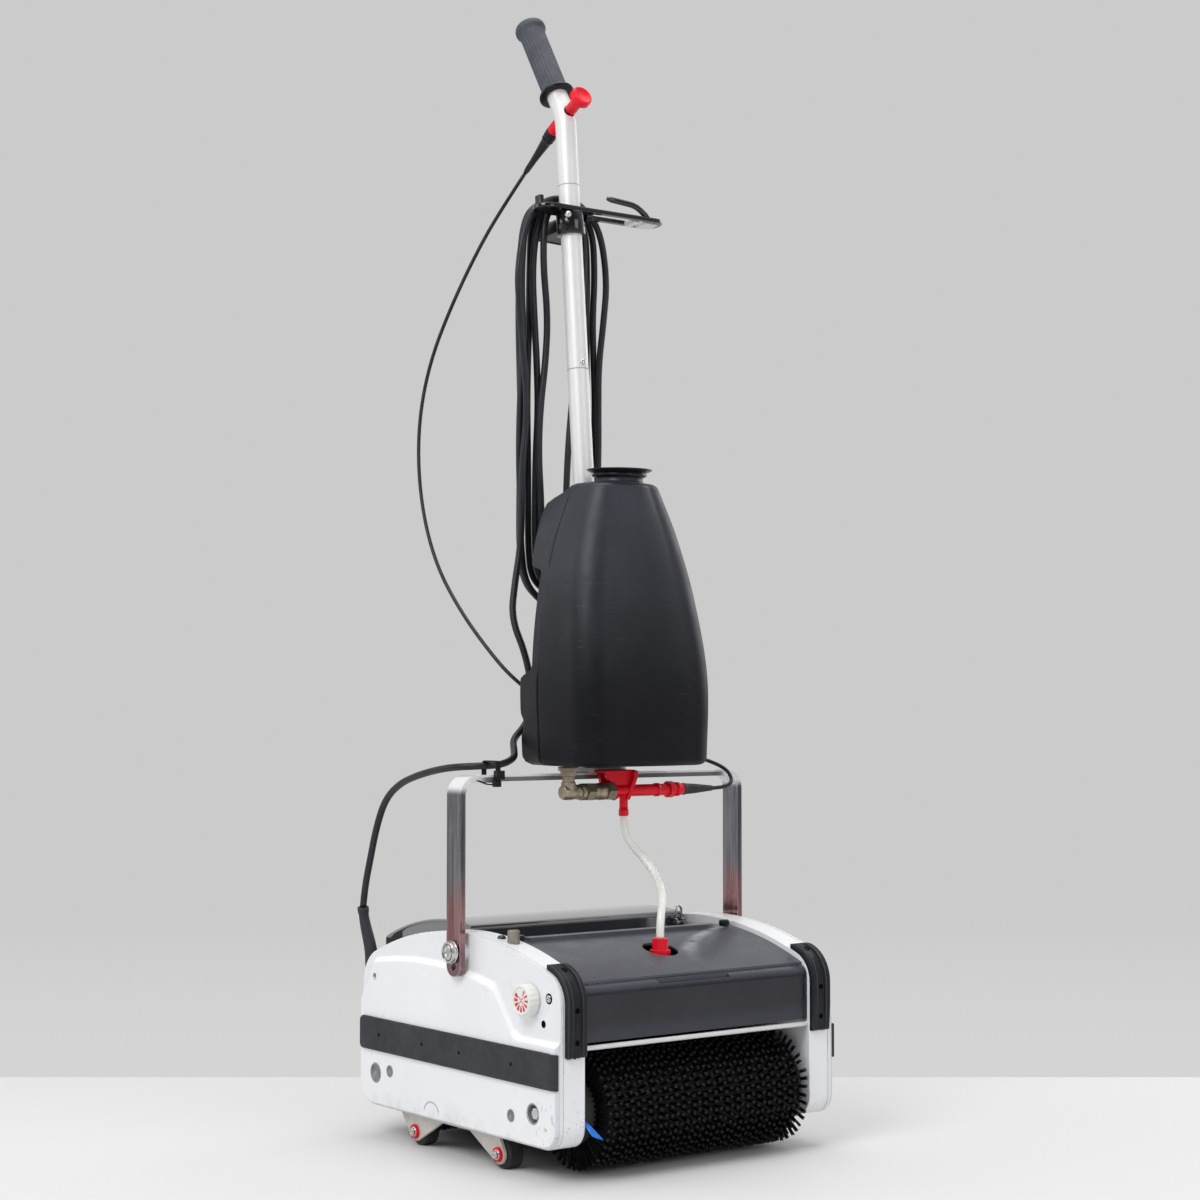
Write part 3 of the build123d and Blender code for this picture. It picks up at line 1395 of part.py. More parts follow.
# Water tank, back half: a shell round the tube
with BuildPart() as tank_back:
    add(rear_form(0.0))
    add(rear_form(back_wall), mode=Mode.SUBTRACT)
    with BuildSketch(tube_plane):
        Circle(tube_r + slide_clear)
    extrude(amount=lower_len, mode=Mode.SUBTRACT)
    with BuildSketch(tube_plane):
        Circle(foot_r + slide_clear)
    extrude(amount=foot_h + foot_plate, mode=Mode.SUBTRACT)
tank_back.part.label = "tank_back"
export_step(tank_back.part, "parts/tank_back.step")

# Filler cap with its plug
cap_z = tank_top + neck_h + slide_clear
with BuildPart() as filler_cap:
    with BuildSketch(Plane.XZ):
        with BuildLine():
            Polyline(
                (0, -cap_plug),
                (cap_plug_r, -cap_plug),
                (cap_plug_r, 0),
                (cap_skirt_r - 1.0, 0),
                (cap_skirt_r, cap_skirt),
                (cap_waist_r, cap_skirt + 1.0),
                (cap_r, cap_t),
                (cap_r - cap_lip, cap_t),
                (cap_waist_r, cap_t - cap_dish),
                (0, cap_t - cap_dish),
                close=True,
            )
        make_face()
    revolve(axis=Axis.Z)
filler_cap.part = filler_cap.part.moved(Location((0, neck_y, cap_z)))
filler_cap.part.label = "filler_cap"
export_step(filler_cap.part, "parts/filler_cap.step")

# Outlet elbow and union nuts under the tank
tank_bottom = tank_sections[0][0]
with BuildPart() as outlet_fittings:
    with BuildLine() as elbow_path:
        FilletPolyline(
            (elbow_x, valve_y, tank_bottom),
            (elbow_x, valve_y, valve_z),
            (valve_x0, valve_y, valve_z),
            radius=2 * elbow_r,
        )
    with BuildSketch(Plane((elbow_x, valve_y, tank_bottom), z_dir=(0, 0, -1))):
        Circle(elbow_r)
    sweep(path=elbow_path.wire())
    for nut_x in (fitting_from, fitting_to - fitting_r):
        with BuildSketch(Plane.YZ.offset(nut_x)):
            with Locations((valve_y, valve_z)):
                RegularPolygon(fitting_r, 6)
        extrude(amount=fitting_r)
outlet_fittings.part.label = "outlet_fittings"
export_step(outlet_fittings.part, "parts/outlet_fittings.step")

# Flow valve with its bracket on the bail and the outlet nipple
bar_face = bail_y - bail_w / 2
with BuildPart() as valve_body:
    extrude(discs(valve_x0, [(valve_y, valve_z)], valve_r), amount=valve_x1 - valve_x0)
    extrude(discs(valve_lug_x - valve_r / 2, [(valve_y, valve_z)], valve_r * 1.4), amount=valve_r)
    with BuildSketch(Plane.XZ.offset(-bar_face)):
        with BuildLine():
            Polyline(*bracket_outline, close=True)
        make_face()
    extrude(amount=bracket_plate_t)
    bridge_x = (bracket_bridge[0] + bracket_bridge[1]) / 2
    with Locations((bridge_x, (valve_y + bar_face) / 2, valve_z)):
        Box(bracket_bridge[1] - bracket_bridge[0], bar_face - valve_y, 1.6 * valve_r)
    with BuildSketch(Plane.XY.offset(outlet_low)):
        with Locations((outlet_x, valve_y)):
            Circle(outlet_r)
    extrude(amount=valve_z - outlet_low)
    bore_in = plunger_from - valve_x1 - 2.0
    extrude(discs(valve_x1, [(valve_y, valve_z)], valve_bore_r), amount=bore_in, mode=Mode.SUBTRACT)
valve_body.part.label = "valve_body"
export_step(valve_body.part, "parts/valve_body.step")

with BuildPart() as valve_plunger:
    extrude(discs(plunger_from, [(valve_y, valve_z)], plunger_r), amount=plunger_len)
valve_plunger.part.label = "valve_plunger"
export_step(valve_plunger.part, "parts/valve_plunger.step")

# Boots of the control cable, its clip on the tank and the tie on the bail
with BuildPart() as cable_fittings:
    with BuildSketch(trigger_plane.offset(socket_to)) as boot_base:
        Circle(socket_r)
    first_run = Vector(*control_route[1]) - Vector(*control_route[0])
    with BuildSketch(Plane(control_route[0], z_dir=first_run)) as boot_end:
        Circle(boot_tip_r)
    loft([boot_base.sketch, boot_end.sketch])
    boot_start = trigger_plane.offset(socket_to).origin
    boot_run = Vector(*control_route[0]) - boot_start
    for rib in range(boot_ribs):
        rib_at = boot_start + boot_run.normalized() * boot_rib * (2 * rib + 0.7)
        with BuildSketch(Plane(rib_at, z_dir=boot_run)) as boot_ring:
            Circle(boot_rib_r)
        extrude(boot_ring.sketch, amount=boot_rib)
    last_run = Vector(*control_route[-2]) - Vector(*control_route[-1])
    with BuildSketch(Plane((valve_x1, valve_y, valve_z), z_dir=(1, 0, 0))) as low_base:
        Circle(lower_boot_r)
    with BuildSketch(Plane(control_route[-1], z_dir=last_run)) as low_end:
        Circle(boot_tip_r)
    loft([low_base.sketch, low_end.sketch])
    tie_high = tie_cord_z + mains_d / 2 + slide_clear
    tie_low = bail_top - bail_t - slide_clear
    with Locations((tie_x, bail_y, (tie_high + tie_low) / 2)):
        Box(tie_w, bail_w + 2 * slide_clear + 2 * tie_t, tie_high - tie_low + 2 * tie_t)
        Box(2 * tie_w, bail_w + 2 * slide_clear, tie_high - tie_low, mode=Mode.SUBTRACT)
    clip_rear = lead_route[-1][1] - mains_d / 2 - 5 * slide_clear
    with Locations((lead_route[-1][0], (clip_rear + back_rib_y) / 2, lead_route[-1][2] - clip_h / 4)):
        Box(clip_w, clip_rear - back_rib_y, clip_h)
cable_fittings.part.label = "cable_fittings"
export_step(cable_fittings.part, "parts/cable_fittings.step")

# Cord gland: a boot from the rear of the left casting
with BuildPart() as cord_gland:
    with BuildLine() as gland_path:
        FilletPolyline(*gland_route, radius=corner_radii(gland_route))
    with BuildSketch(Plane(gland_route[0], z_dir=(0, 1, 0))):
        Circle(gland_r)
    sweep(path=gland_path.wire())
cord_gland.part.label = "cord_gland"
export_step(cord_gland.part, "parts/cord_gland.step")

# Cords
with BuildPart() as mains_lead:
    add(cord("mains_lead", lead_route, mains_d))
mains_lead.part.label = "mains_lead"
export_step(mains_lead.part, "parts/mains_lead.step")

with BuildPart() as mains_riser:
    add(cord("mains_riser", riser_route, mains_d))
mains_riser.part.label = "mains_riser"
export_step(mains_riser.part, "parts/mains_riser.step")

with BuildPart() as control_cable:
    add(cord("control_cable", control_route, control_d))
control_cable.part.label = "control_cable"
export_step(control_cable.part, "parts/control_cable.step")

with BuildPart() as feed_hose:
    add(cord("feed_hose", hose_route, hose_d))
feed_hose.part.label = "feed_hose"
export_step(feed_hose.part, "parts/feed_hose.step")

# Mains hank: one unbroken tube through all its loops, with the tail to the plug
with BuildPart() as mains_hank:
    with BuildLine() as hank_path:
        start = riser_route[-1]
        for n, (half, y) in enumerate(hank_loops):
            crest = hank_crest + (hank_layer if n < len(hank_loops) / 2 else 0.0)
            left = (hank_x - half, y, crest - half)
            right = (hank_x + half, y, crest - half)
            Line(start, left)
            ThreePointArc(left, (hank_x, y, crest), right)
            if n + 1 < len(hank_loops):
                half, y = hank_loops[n + 1]
                foot = (hank_x + half, y, hank_bottom)
            else:
                foot = (hank_x, hank_tail_y, hank_end + mains_d)
            middle = tuple((a + b) / 2 for a, b in zip(right, foot))
            swing = TangentArc(right, middle, tangent=(0, 0, -1))
            TangentArc(middle, foot, tangent=swing % 1)
            if n + 1 < len(hank_loops):
                start = (hank_x - half, y, hank_bottom)
                ThreePointArc(foot, (hank_x, y, hank_bottom - half), start)
            else:
                Line(foot, (hank_x, hank_tail_y, hank_end))
    hank_wire = hank_path.wire()
    with BuildSketch(Plane(hank_wire @ 0, z_dir=(0, 0, 1))):
        Circle(mains_d / 2)
    sweep(path=hank_wire)
mains_hank.part.label = "mains_hank"
export_step(mains_hank.part, "parts/mains_hank.step")
hank_len = hank_wire.length
hank_points = [tuple(hank_wire @ (n / 1800)) for n in range(1801)]
skip = int(4 * mains_d / (hank_len / 1800)) + 1
hank_gap = min(dist(p, q) for n, p in enumerate(hank_points) for q in hank_points[n + skip :]) - mains_d
hank_share = mains_hank.part.volume / (pi * mains_d**2 / 4 * hank_len)
print(f"mains_hank: {hank_len:.0f} mm, least gap {hank_gap:.2f} mm, volume share {hank_share:.4f}")

# Plug at the end of the hank
with BuildPart() as mains_plug:
    with BuildSketch(Plane.XY.offset(hank_end)) as plug_top:
        with Locations((hank_x, hank_tail_y)):
            Circle(mains_d)
    with BuildSketch(Plane.XY.offset(hank_end - plug_len / 2)) as plug_mid:
        with Locations((hank_x, hank_tail_y)):
            Circle(plug_r)
    loft([plug_top.sketch, plug_mid.sketch])
    extrude(plug_mid.sketch, amount=-plug_len / 2)
    with BuildSketch(Plane.XY.offset(hank_end - plug_len)):
        with Locations((hank_x - plug_pins / 2, hank_tail_y), (hank_x + plug_pins / 2, hank_tail_y)):
            Circle(plug_pin_r)
    extrude(amount=-plug_pin)
mains_plug.part.label = "mains_plug"
export_step(mains_plug.part, "parts/mains_plug.step")
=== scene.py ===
import json
import math
import random

import bpy
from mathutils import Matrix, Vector


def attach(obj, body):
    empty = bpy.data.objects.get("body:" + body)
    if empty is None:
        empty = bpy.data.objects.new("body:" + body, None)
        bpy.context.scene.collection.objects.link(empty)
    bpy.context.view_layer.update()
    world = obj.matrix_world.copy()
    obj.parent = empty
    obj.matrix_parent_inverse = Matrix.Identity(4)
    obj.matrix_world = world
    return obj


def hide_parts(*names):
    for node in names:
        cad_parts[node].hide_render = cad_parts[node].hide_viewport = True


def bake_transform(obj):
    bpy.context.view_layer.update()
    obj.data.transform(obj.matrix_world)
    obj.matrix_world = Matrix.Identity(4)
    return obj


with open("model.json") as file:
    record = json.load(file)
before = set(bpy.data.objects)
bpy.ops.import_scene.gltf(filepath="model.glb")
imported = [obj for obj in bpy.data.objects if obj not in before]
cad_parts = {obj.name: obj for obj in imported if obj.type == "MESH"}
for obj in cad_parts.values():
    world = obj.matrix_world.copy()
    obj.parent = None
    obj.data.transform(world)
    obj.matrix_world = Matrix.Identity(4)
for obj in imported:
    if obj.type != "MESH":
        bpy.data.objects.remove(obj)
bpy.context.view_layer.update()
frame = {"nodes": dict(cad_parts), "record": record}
nodes = frame["nodes"]
scene = bpy.context.scene
scene.view_settings.view_transform = "Standard"


def mm(x, y, z):
    """A point given in millimetres, in metres."""
    return Vector((x, y, z)) * 0.001


def srgb(r, g, b):
    """A colour given as 0 to 255 screen values, as a linear colour."""
    out = []
    for c in (r, g, b):
        c /= 255
        out.append(c / 12.92 if c <= 0.04045 else ((c + 0.055) / 1.055) ** 2.4)
    return (*out, 1.0)


# Camera at the photograph's place
cam_data = bpy.data.cameras.new("camera")
cam_data.sensor_width = 36.0
cam_data.lens = 69.36
cam_data.clip_end = 60.0
cam = bpy.data.objects.new("camera", cam_data)
scene.collection.objects.link(cam)
cam.location = mm(-1787.3, -2393.1, 567.3)
azimuth, rise = math.radians(36.93), math.radians(2.38)
look = Vector((math.sin(azimuth) * math.cos(rise), math.cos(azimuth) * math.cos(rise), math.sin(rise)))
cam.rotation_euler = look.to_track_quat("-Z", "Y").to_euler()
scene.camera = cam

mats = {}


class Nodes:
    """A node tree under construction: short calls add nodes and links."""

    def __init__(self, tree):
        self.tree = tree
        self.tree.nodes.clear()

    def add(self, kind, **values):
        node = self.tree.nodes.new(kind)
        for key, value in values.items():
            setattr(node, key, value)
        return node

    def link(self, a, b):
        self.tree.links.new(a, b)

    def feed(self, sockets, *values):
        """Link sockets in turn, or set their values; three numbers are a screen colour."""
        for socket, value in zip(sockets, values):
            if isinstance(value, bpy.types.NodeSocket):
                self.link(value, socket)
            elif isinstance(value, tuple) and len(value) == 3:
                socket.default_value = srgb(*value)
            else:
                socket.default_value = value

    def span(self, value, low, high, to_low=0.0, to_high=1.0):
        """A smooth step from one value to another."""
        node = self.add("ShaderNodeMapRange", interpolation_type="SMOOTHSTEP")
        self.feed(node.inputs, value, low, high, to_low, to_high)
        return node.outputs[0]

    def math(self, kind, a, b=0.0):
        node = self.add("ShaderNodeMath", operation=kind)
        self.feed(node.inputs, a, b)
        return node.outputs[0]

    def times(self, a, b):
        return self.math("MULTIPLY", a, b)

    def most(self, a, b):
        return self.math("MAXIMUM", a, b)

    def off(self, a, b=None):
        """Size of a value, or of its difference from another."""
        return self.math("ABSOLUTE", a if b is None else self.math("SUBTRACT", a, b))

    def mix(self, share, a, b):
        node = self.add("ShaderNodeMix", data_type="RGBA")
        self.feed((node.inputs[0], *node.inputs[6:8]), share, a, b)
        return node.outputs[2]

    def either(self, share, a, b):
        """Two shaders mixed by a share."""
        node = self.add("ShaderNodeMixShader")
        self.feed(node.inputs, share, a, b)
        return node.outputs[0]


class Shader(Nodes):
    """A material on the object's own coordinates, kept in mats under its name."""

    def __init__(self, name):
        self.mat = mats[name] = bpy.data.materials.new(name)
        self.mat.use_nodes = True
        super().__init__(self.mat.node_tree)
        self.out = self.add("ShaderNodeOutputMaterial")
        self.bsdf = self.add("ShaderNodeBsdfPrincipled")
        self.link(self.bsdf.outputs[0], self.out.inputs[0])
        self.where = self.add("ShaderNodeTexCoord").outputs["Object"]

    def set(self, **values):
        for key, value in values.items():
            self.feed([self.bsdf.inputs[key.replace("_", " ")]], value)

    def scaled(self, scale, rotate=(0, 0, 0)):
        node = self.add("ShaderNodeMapping")
        self.link(self.where, node.inputs["Vector"])
        node.inputs["Scale"].default_value = scale
        node.inputs["Rotation"].default_value = rotate
        return node.outputs[0]

    def noise(self, scale, detail=4.0, rough=0.55, at=None):
        node = self.add("ShaderNodeTexNoise")
        names = ("Vector", "Scale", "Detail", "Roughness")
        self.feed([node.inputs[name] for name in names], at or self.where, scale, detail, rough)
        return node.outputs[0]

    def axes(self):
        node = self.add("ShaderNodeSeparateXYZ")
        self.link(self.where, node.inputs[0])
        return node.outputs

    def away(self, point, squeeze):
        """Distance from a point, in metres, with each axis scaled."""
        at = self.where
        for kind, by in (("SUBTRACT", point), ("MULTIPLY", squeeze)):
            node = self.add("ShaderNodeVectorMath", operation=kind)
            self.link(at, node.inputs[0])
            node.inputs[1].default_value = by
            at = node.outputs[0]
        size = self.add("ShaderNodeVectorMath", operation="LENGTH")
        self.link(at, size.inputs[0])
        return size.outputs["Value"]

    def bump(self, height, distance):
        node = self.add("ShaderNodeBump")
        node.inputs["Strength"].default_value = 1.0
        node.inputs["Distance"].default_value = distance
        self.link(height, node.inputs["Height"])
        self.link(node.outputs[0], self.bsdf.inputs["Normal"])

    def grain(self, scale, depth, detail=2.0):
        """Fine bump all over."""
        self.bump(self.noise(scale, detail), depth)

    def gloss(self, smooth, rough, scale, detail=4.0, fine=0.55, low=0.3, high=0.7):
        """Uneven roughness between two values."""
        self.set(Roughness=self.span(self.noise(scale, detail, fine), low, high, smooth, rough))

    def tones(self, one, other, scale, detail=4.0, fine=0.55, low=0.3, high=0.7):
        """Two colours in soft clouds."""
        return self.mix(self.span(self.noise(scale, detail, fine), low, high), one, other)

    def tint(self, base, share, colour, amount):
        """A base colour taken towards another, by a share of an amount."""
        return self.mix(self.times(share, amount), base, colour)

    def scratched(self, base, tone, amount, scale, turn, low):
        """Thin hairline marks of another tone over a base colour."""
        hair = self.span(self.noise(1.0, 2.0, 0.5, self.scaled(scale, turn)), low, low + 0.06)
        return self.tint(base, self.times(hair, self.span(self.noise(14.0, 3.0), 0.45, 0.7)), tone, amount)

    def edges(self, radius):
        """1 at edges, 0 on open faces: worn edges on some surfaces, painted edge highlights on others."""
        soft = self.add("ShaderNodeBevel", samples=4)
        soft.inputs["Radius"].default_value = radius
        dot = self.add("ShaderNodeVectorMath", operation="DOT_PRODUCT")
        self.link(soft.outputs[0], dot.inputs[0])
        self.link(self.add("ShaderNodeNewGeometry").outputs["Normal"], dot.inputs[1])
        return self.span(dot.outputs["Value"], 0.995, 0.80)


def plain(name, colour, other, smooth, rough, grain=220.0, depth=0.00005, blotch=9.0, **values):
    """Moulded or painted surface: two close tones, uneven gloss and a fine grain."""
    s = Shader(name)
    s.set(Base_Color=s.tones(colour, other, blotch, 5.0, 0.6), **values)
    s.gloss(smooth, rough, blotch * 3, 5.0, 0.65)
    s.grain(grain * 6, depth, 3.0)


# White housing: painted shade on the cover's recessed plate, a painted highlight where the raised field's
# slope faces up and painted shade where it faces down, a dark seam line, chips and scuffs, a moulded arc,
# dust low down
s = Shader("white_housing")
white = s.tones((241, 242, 244), (235, 237, 240), 6.0, 5.0)
white = s.scratched(white, (190, 193, 198), 0.15, (60, 700, 60), (0.4, 0.1, 0.9), 0.66)
outward = s.off(s.axes()[0])
level = s.axes()[2]
tilt = s.add("ShaderNodeSeparateXYZ")
s.link(s.add("ShaderNodeNewGeometry").outputs["Normal"], tilt.inputs[0])
# Painted light and shade: the recessed plate darker, the field's slope paler where it faces up and darker
# where it faces down
plate = s.times(s.span(outward, 0.2080, 0.2084), s.span(outward, 0.2112, 0.2103))
slope = s.times(s.span(outward, 0.2103, 0.2110), s.span(outward, 0.2161, 0.2154))
slope_highlight = s.times(slope, s.span(tilt.outputs[2], 0.30, 0.62))
slope_shade = s.times(slope, s.span(tilt.outputs[2], 0.42, 0.10))
seam = s.span(s.off(outward, 0.2061), 0.0008, 0.0004)
white = s.tint(white, plate, (222, 224, 229), 0.40)
white = s.mix(slope_highlight, white, (252, 252, 253))
white = s.tint(white, slope_shade, (204, 207, 213), 0.8)
white = s.tint(white, seam, (150, 153, 158), 0.55)
chips = s.span(s.noise(420.0, 2.0, 0.5), 0.71, 0.75)
patches = s.span(s.noise(13.0, 3.0, 0.6), 0.62, 0.72)
low_corner = s.span(s.away(mm(-216, -205, 62), (0.3, 1, 1)), 0.050, 0.012)
worn = s.times(s.edges(0.0022), s.span(s.noise(60.0, 4.0, 0.7), 0.52, 0.66))
marks = s.most(s.times(chips, s.most(patches, low_corner)), worn)
scuff = s.times(s.span(s.noise(130.0, 5.0, 0.75), 0.56, 0.66), low_corner)
white = s.tint(white, s.most(marks, scuff), (132, 134, 138), 0.75)
ring = s.off(s.away(mm(-216, 46, 51), (0.1, 0.78, 1)), 0.0125)
arc = s.times(s.span(ring, 0.0013, 0.0006), s.span(level, 0.050, 0.0545))
white = s.tint(white, arc, (150, 153, 158), 0.8)
dust = s.times(s.span(level, 0.075, 0.038), s.span(s.noise(40.0, 5.0, 0.7), 0.4, 0.75))
white = s.tint(white, dust, (170, 168, 163), 0.35)
s.set(Base_Color=white, Specular_IOR_Level=0.45)
s.gloss(0.27, 0.32, 12.0, 4.0, 0.6, high=0.75)
s.grain(420.0, 0.00001)

# Rubber of bumpers and guards, with pale scuffs and pale edges that are painted edge highlights
s = Shader("charcoal_rubber")
rubber = s.tones((38, 40, 44), (50, 52, 57), 11.0, 6.0, 0.65, high=0.72)
rubber = s.scratched(rubber, (104, 107, 112), 0.45, (40, 40, 700), (0.2, 0.5, 0.1), 0.64)
s.set(Base_Color=s.tint(rubber, s.edges(0.0016), (118, 120, 124), 0.35), Specular_IOR_Level=0.4)
s.gloss(0.52, 0.72, 45.0)
s.grain(1500.0, 0.00008)

# Darker rubber of the corner guards, with pale edges that are painted edge highlights
s = Shader("guard_rubber")
rubber = s.tones((24, 25, 30), (33, 34, 40), 16.0, 6.0, 0.65, high=0.72)
s.set(Base_Color=s.tint(rubber, s.edges(0.0012), (92, 94, 101), 0.55), Specular_IOR_Level=0.25)
s.gloss(0.42, 0.60, 45.0)
s.grain(1500.0, 0.00006)

# Top cover, with a pale curved streak
s = Shader("grey_cover")
grey = s.tones((70, 73, 81), (80, 83, 91), 7.0, 6.0, 0.6)
grey = s.scratched(grey, (124, 127, 134), 0.25, (500, 25, 30), (0, 0, 0.8), 0.64)
run = s.axes()
bend = s.times(s.math("POWER", s.math("ADD", run[1], 0.150), 2.0), 9.0)
curve = s.math("ADD", bend, s.times(s.math("ADD", run[1], 0.14), 0.75))
streak = s.span(s.off(s.math("SUBTRACT", run[0], 0.045), curve), 0.020, 0.002)
fade = s.times(s.span(run[1], -0.195, -0.12), s.span(s.noise(30.0, 4.0, 0.7), 0.25, 0.6))
streak = s.times(s.times(streak, fade), s.span(run[0], -0.01, 0.03))
s.set(Base_Color=s.tint(grey, streak, (186, 190, 195), 0.62))
s.gloss(0.26, 0.44, 22.0, 6.0, 0.7, high=0.75)
s.grain(900.0, 0.00004)

# Front panel, paler at its upper and lower edge: painted highlights
s = Shader("black_satin")
satin = s.tones((25, 26, 35), (33, 34, 44), 9.0, 6.0, 0.6, high=0.72)
level = s.axes()[2]
satin = s.tint(satin, s.span(level, 0.217, 0.226), (66, 69, 79), 0.8)
satin = s.tint(satin, s.span(level, 0.186, 0.168), (52, 54, 64), 0.6)
satin = s.scratched(satin, (76, 78, 86), 0.25, (12, 30, 800), (0.1, 0.05, 0.2), 0.65)
s.set(Base_Color=satin)
s.gloss(0.20, 0.36, 26.0, 6.0, 0.7, high=0.75)
s.grain(1100.0, 0.00004)

# Plain surfaces
plain("black_plastic", (16, 17, 20), (22, 23, 27), 0.22, 0.38, 200.0, 0.00004, Specular_IOR_Level=0.3)
knob_coat = {"Coat_Weight": 0.5, "Coat_Roughness": 0.08}
plain("black_gloss", (15, 16, 18), (21, 22, 25), 0.12, 0.20, 160.0, 0.000002, **knob_coat)
plain("white_plastic", (236, 236, 234), (226, 226, 222), 0.3, 0.45, 260.0, 0.00004)
plain("red_plastic", (232, 12, 40), (220, 8, 34), 0.28, 0.42, 240.0, 0.00004, Specular_IOR_Level=0.3)
plain("core_plastic", (30, 30, 31), (42, 42, 42), 0.5, 0.7)
plain("motor_paint", (112, 116, 122), (98, 102, 108), 0.4, 0.55, Metallic=0.2)
plain("belt_rubber", (24, 24, 25), (34, 34, 34), 0.7, 0.85, 400.0, 0.0001)
plain("wheel_tyre", (28, 29, 31), (44, 45, 47), 0.42, 0.66, 300.0, 0.00008, 24.0)
plain("steel", (214, 214, 212), (194, 194, 192), 0.18, 0.32, 300.0, 0.00002, 40.0, Metallic=1.0)
plain("worn_stud", (168, 163, 154), (136, 131, 123), 0.32, 0.5, 260.0, 0.00005, 60.0, Metallic=0.8)
lid_coat = {"Coat_Weight": 1.0, "Coat_Roughness": 0.03, "Coat_IOR": 2.8}
plain("lid_gloss", (44, 46, 49), (54, 56, 60), 0.06, 0.12, 160.0, 0.000006, **lid_coat)
plain("brass", (196, 166, 104), (176, 146, 88), 0.26, 0.42, 260.0, 0.00003, 30.0, Metallic=1.0)
plain("nickel_brass", (178, 165, 144), (150, 138, 118), 0.30, 0.48, 260.0, 0.00006, 45.0, Metallic=0.85)
# pocket_grey: painted shade inside the pocket rims, and the colour of the tube's joint lines
plain("pocket_grey", (158, 166, 166), (138, 146, 147), 0.45, 0.6, 220.0, 0.00004, 60.0)

# Painted brackets, rubbed at their edges
s = Shader("bracket_paint")
paint = s.tones((205, 202, 196), (188, 184, 177), 26.0, 6.0, 0.7, high=0.72)
paint = s.tint(paint, s.edges(0.0014), (128, 122, 114), 0.6)
rub = s.span(s.noise(120.0, 5.0, 0.7), 0.60, 0.70)
s.set(Base_Color=s.tint(paint, rub, (120, 112, 102), 0.4), Metallic=0.25)
s.gloss(0.38, 0.58, 60.0)
s.grain(700.0, 0.00005, 3.0)

# Brushed tube
s = Shader("alloy")
brushed = s.noise(1.0, 3.0, 0.6, s.scaled((1400, 1400, 18)))
silver = s.mix(s.span(brushed, 0.3, 0.7), (228, 228, 227), (222, 222, 222))
silver = s.tint(silver, s.span(s.noise(50.0, 5.0, 0.7), 0.60, 0.74), (196, 197, 199), 0.15)
s.set(Base_Color=silver, Metallic=0.35, Roughness=s.span(brushed, 0.3, 0.7, 0.46, 0.52))
s.bump(brushed, 0.000004)

# Chromed bail, its colour painted reflection: dark legs that turn reddish low down, pale edges as painted
# highlights, a bright top as a painted highlight with less metal, and painted shade on its underside
s = Shader("chrome")
level = s.axes()[2]
wavy = s.math("ADD", level, s.times(s.noise(22.0), 0.06))
stripes = s.span(s.noise(1.0, 3.0, 0.6, s.scaled((300, 300, 9))), 0.35, 0.65)
dark_reflection = s.mix(stripes, (104, 104, 110), (140, 140, 146))
red_reflection = s.mix(stripes, (132, 92, 93), (172, 132, 133))
leg = s.mix(s.span(wavy, 0.395, 0.330), dark_reflection, red_reflection)
leg = s.mix(s.span(wavy, 0.300, 0.272), leg, (132, 104, 106))
leg = s.tint(leg, s.edges(0.0016), (226, 227, 229), 0.9)
top_highlight = s.mix(s.span(level, 0.446, 0.456), leg, (242, 243, 245))
under = s.times(s.span(level, 0.4680, 0.4668), s.span(s.off(s.axes()[0]), 0.200, 0.184))
top_highlight = s.tint(top_highlight, under, (70, 72, 76), 0.85)
film = s.span(s.noise(40.0, 6.0, 0.7), 0.56, 0.75)
s.set(Base_Color=s.tint(top_highlight, film, (176, 172, 172), 0.35), Metallic=s.span(level, 0.444, 0.458, 1.0, 0.30))
s.gloss(0.08, 0.22, 35.0, 5.0, 0.7, 0.35, 0.75)
s.bump(s.noise(1.0, 2.0, 0.5, s.scaled((600, 600, 30))), 0.00001)

s = Shader("grey_grip")
s.set(Base_Color=s.tones((66, 69, 78), (80, 83, 92), 40.0, 5.0, 0.65), Specular_IOR_Level=0.35)
s.gloss(0.50, 0.66, 70.0)
s.grain(1600.0, 0.00008)

# Water tank: darker low down as painted shade, with pale and dark scratches and one cut
s = Shader("tank_plastic")
depth = s.span(s.axes()[2], 0.52, 0.84)
dark, pale = s.mix(depth, (12, 13, 17), (33, 36, 45)), s.mix(depth, (19, 20, 26), (43, 46, 56))
flow = s.tones(dark, pale, 8.0, 6.0, 0.62, 0.28, 0.72)
flow = s.scratched(flow, (70, 73, 82), 0.40, (45, 45, 520), (0.5, 0.35, 0.2), 0.645)
flow = s.scratched(flow, (20, 21, 24), 0.6, (380, 40, 40), (0.2, 0.7, 0.6), 0.65)
cut = s.math("ADD", s.away(mm(-104, -26, 594), (1, 1, 9)), s.times(s.noise(120.0, 2.0), 0.010))
flow = s.tint(flow, s.span(cut, 0.022, 0.012), (22, 23, 25), 0.8)
s.set(Base_Color=flow, Specular_IOR_Level=s.math("ADD", 0.16, s.times(depth, 0.30)))
s.gloss(0.42, 0.56, 20.0, 6.0, 0.7, high=0.75)
s.bump(s.math("ADD", s.noise(1300.0, 2.0), s.times(s.noise(55.0), 4.0)), 0.00007)

# Cords
s = Shader("cable_rubber")
jacket = s.tones((24, 26, 31), (33, 35, 41), 24.0, 5.0, 0.6)
jacket = s.tint(jacket, s.span(s.noise(30.0, 4.0, 0.7), 0.60, 0.78), (66, 67, 71), 0.25)
s.set(Base_Color=jacket, Specular_IOR_Level=0.4)
s.gloss(0.34, 0.46, 60.0)
s.grain(1800.0, 0.00002)

s = Shader("clear_hose")
milk = s.tones((240, 240, 236), (230, 229, 222), 30.0, 4.0, 0.6, 0.35)
film = s.span(s.noise(1.0, 4.0, 0.6, s.scaled((50, 50, 16))), 0.58, 0.78)
s.set(Base_Color=s.tint(milk, film, (200, 196, 184), 0.10), Subsurface_Weight=0.3, IOR=1.42)
s.bsdf.inputs["Subsurface Radius"].default_value = (0.004, 0.004, 0.0035)
s.gloss(0.12, 0.22, 80.0, 3.0)
s.grain(300.0, 0.00002, 3.0)
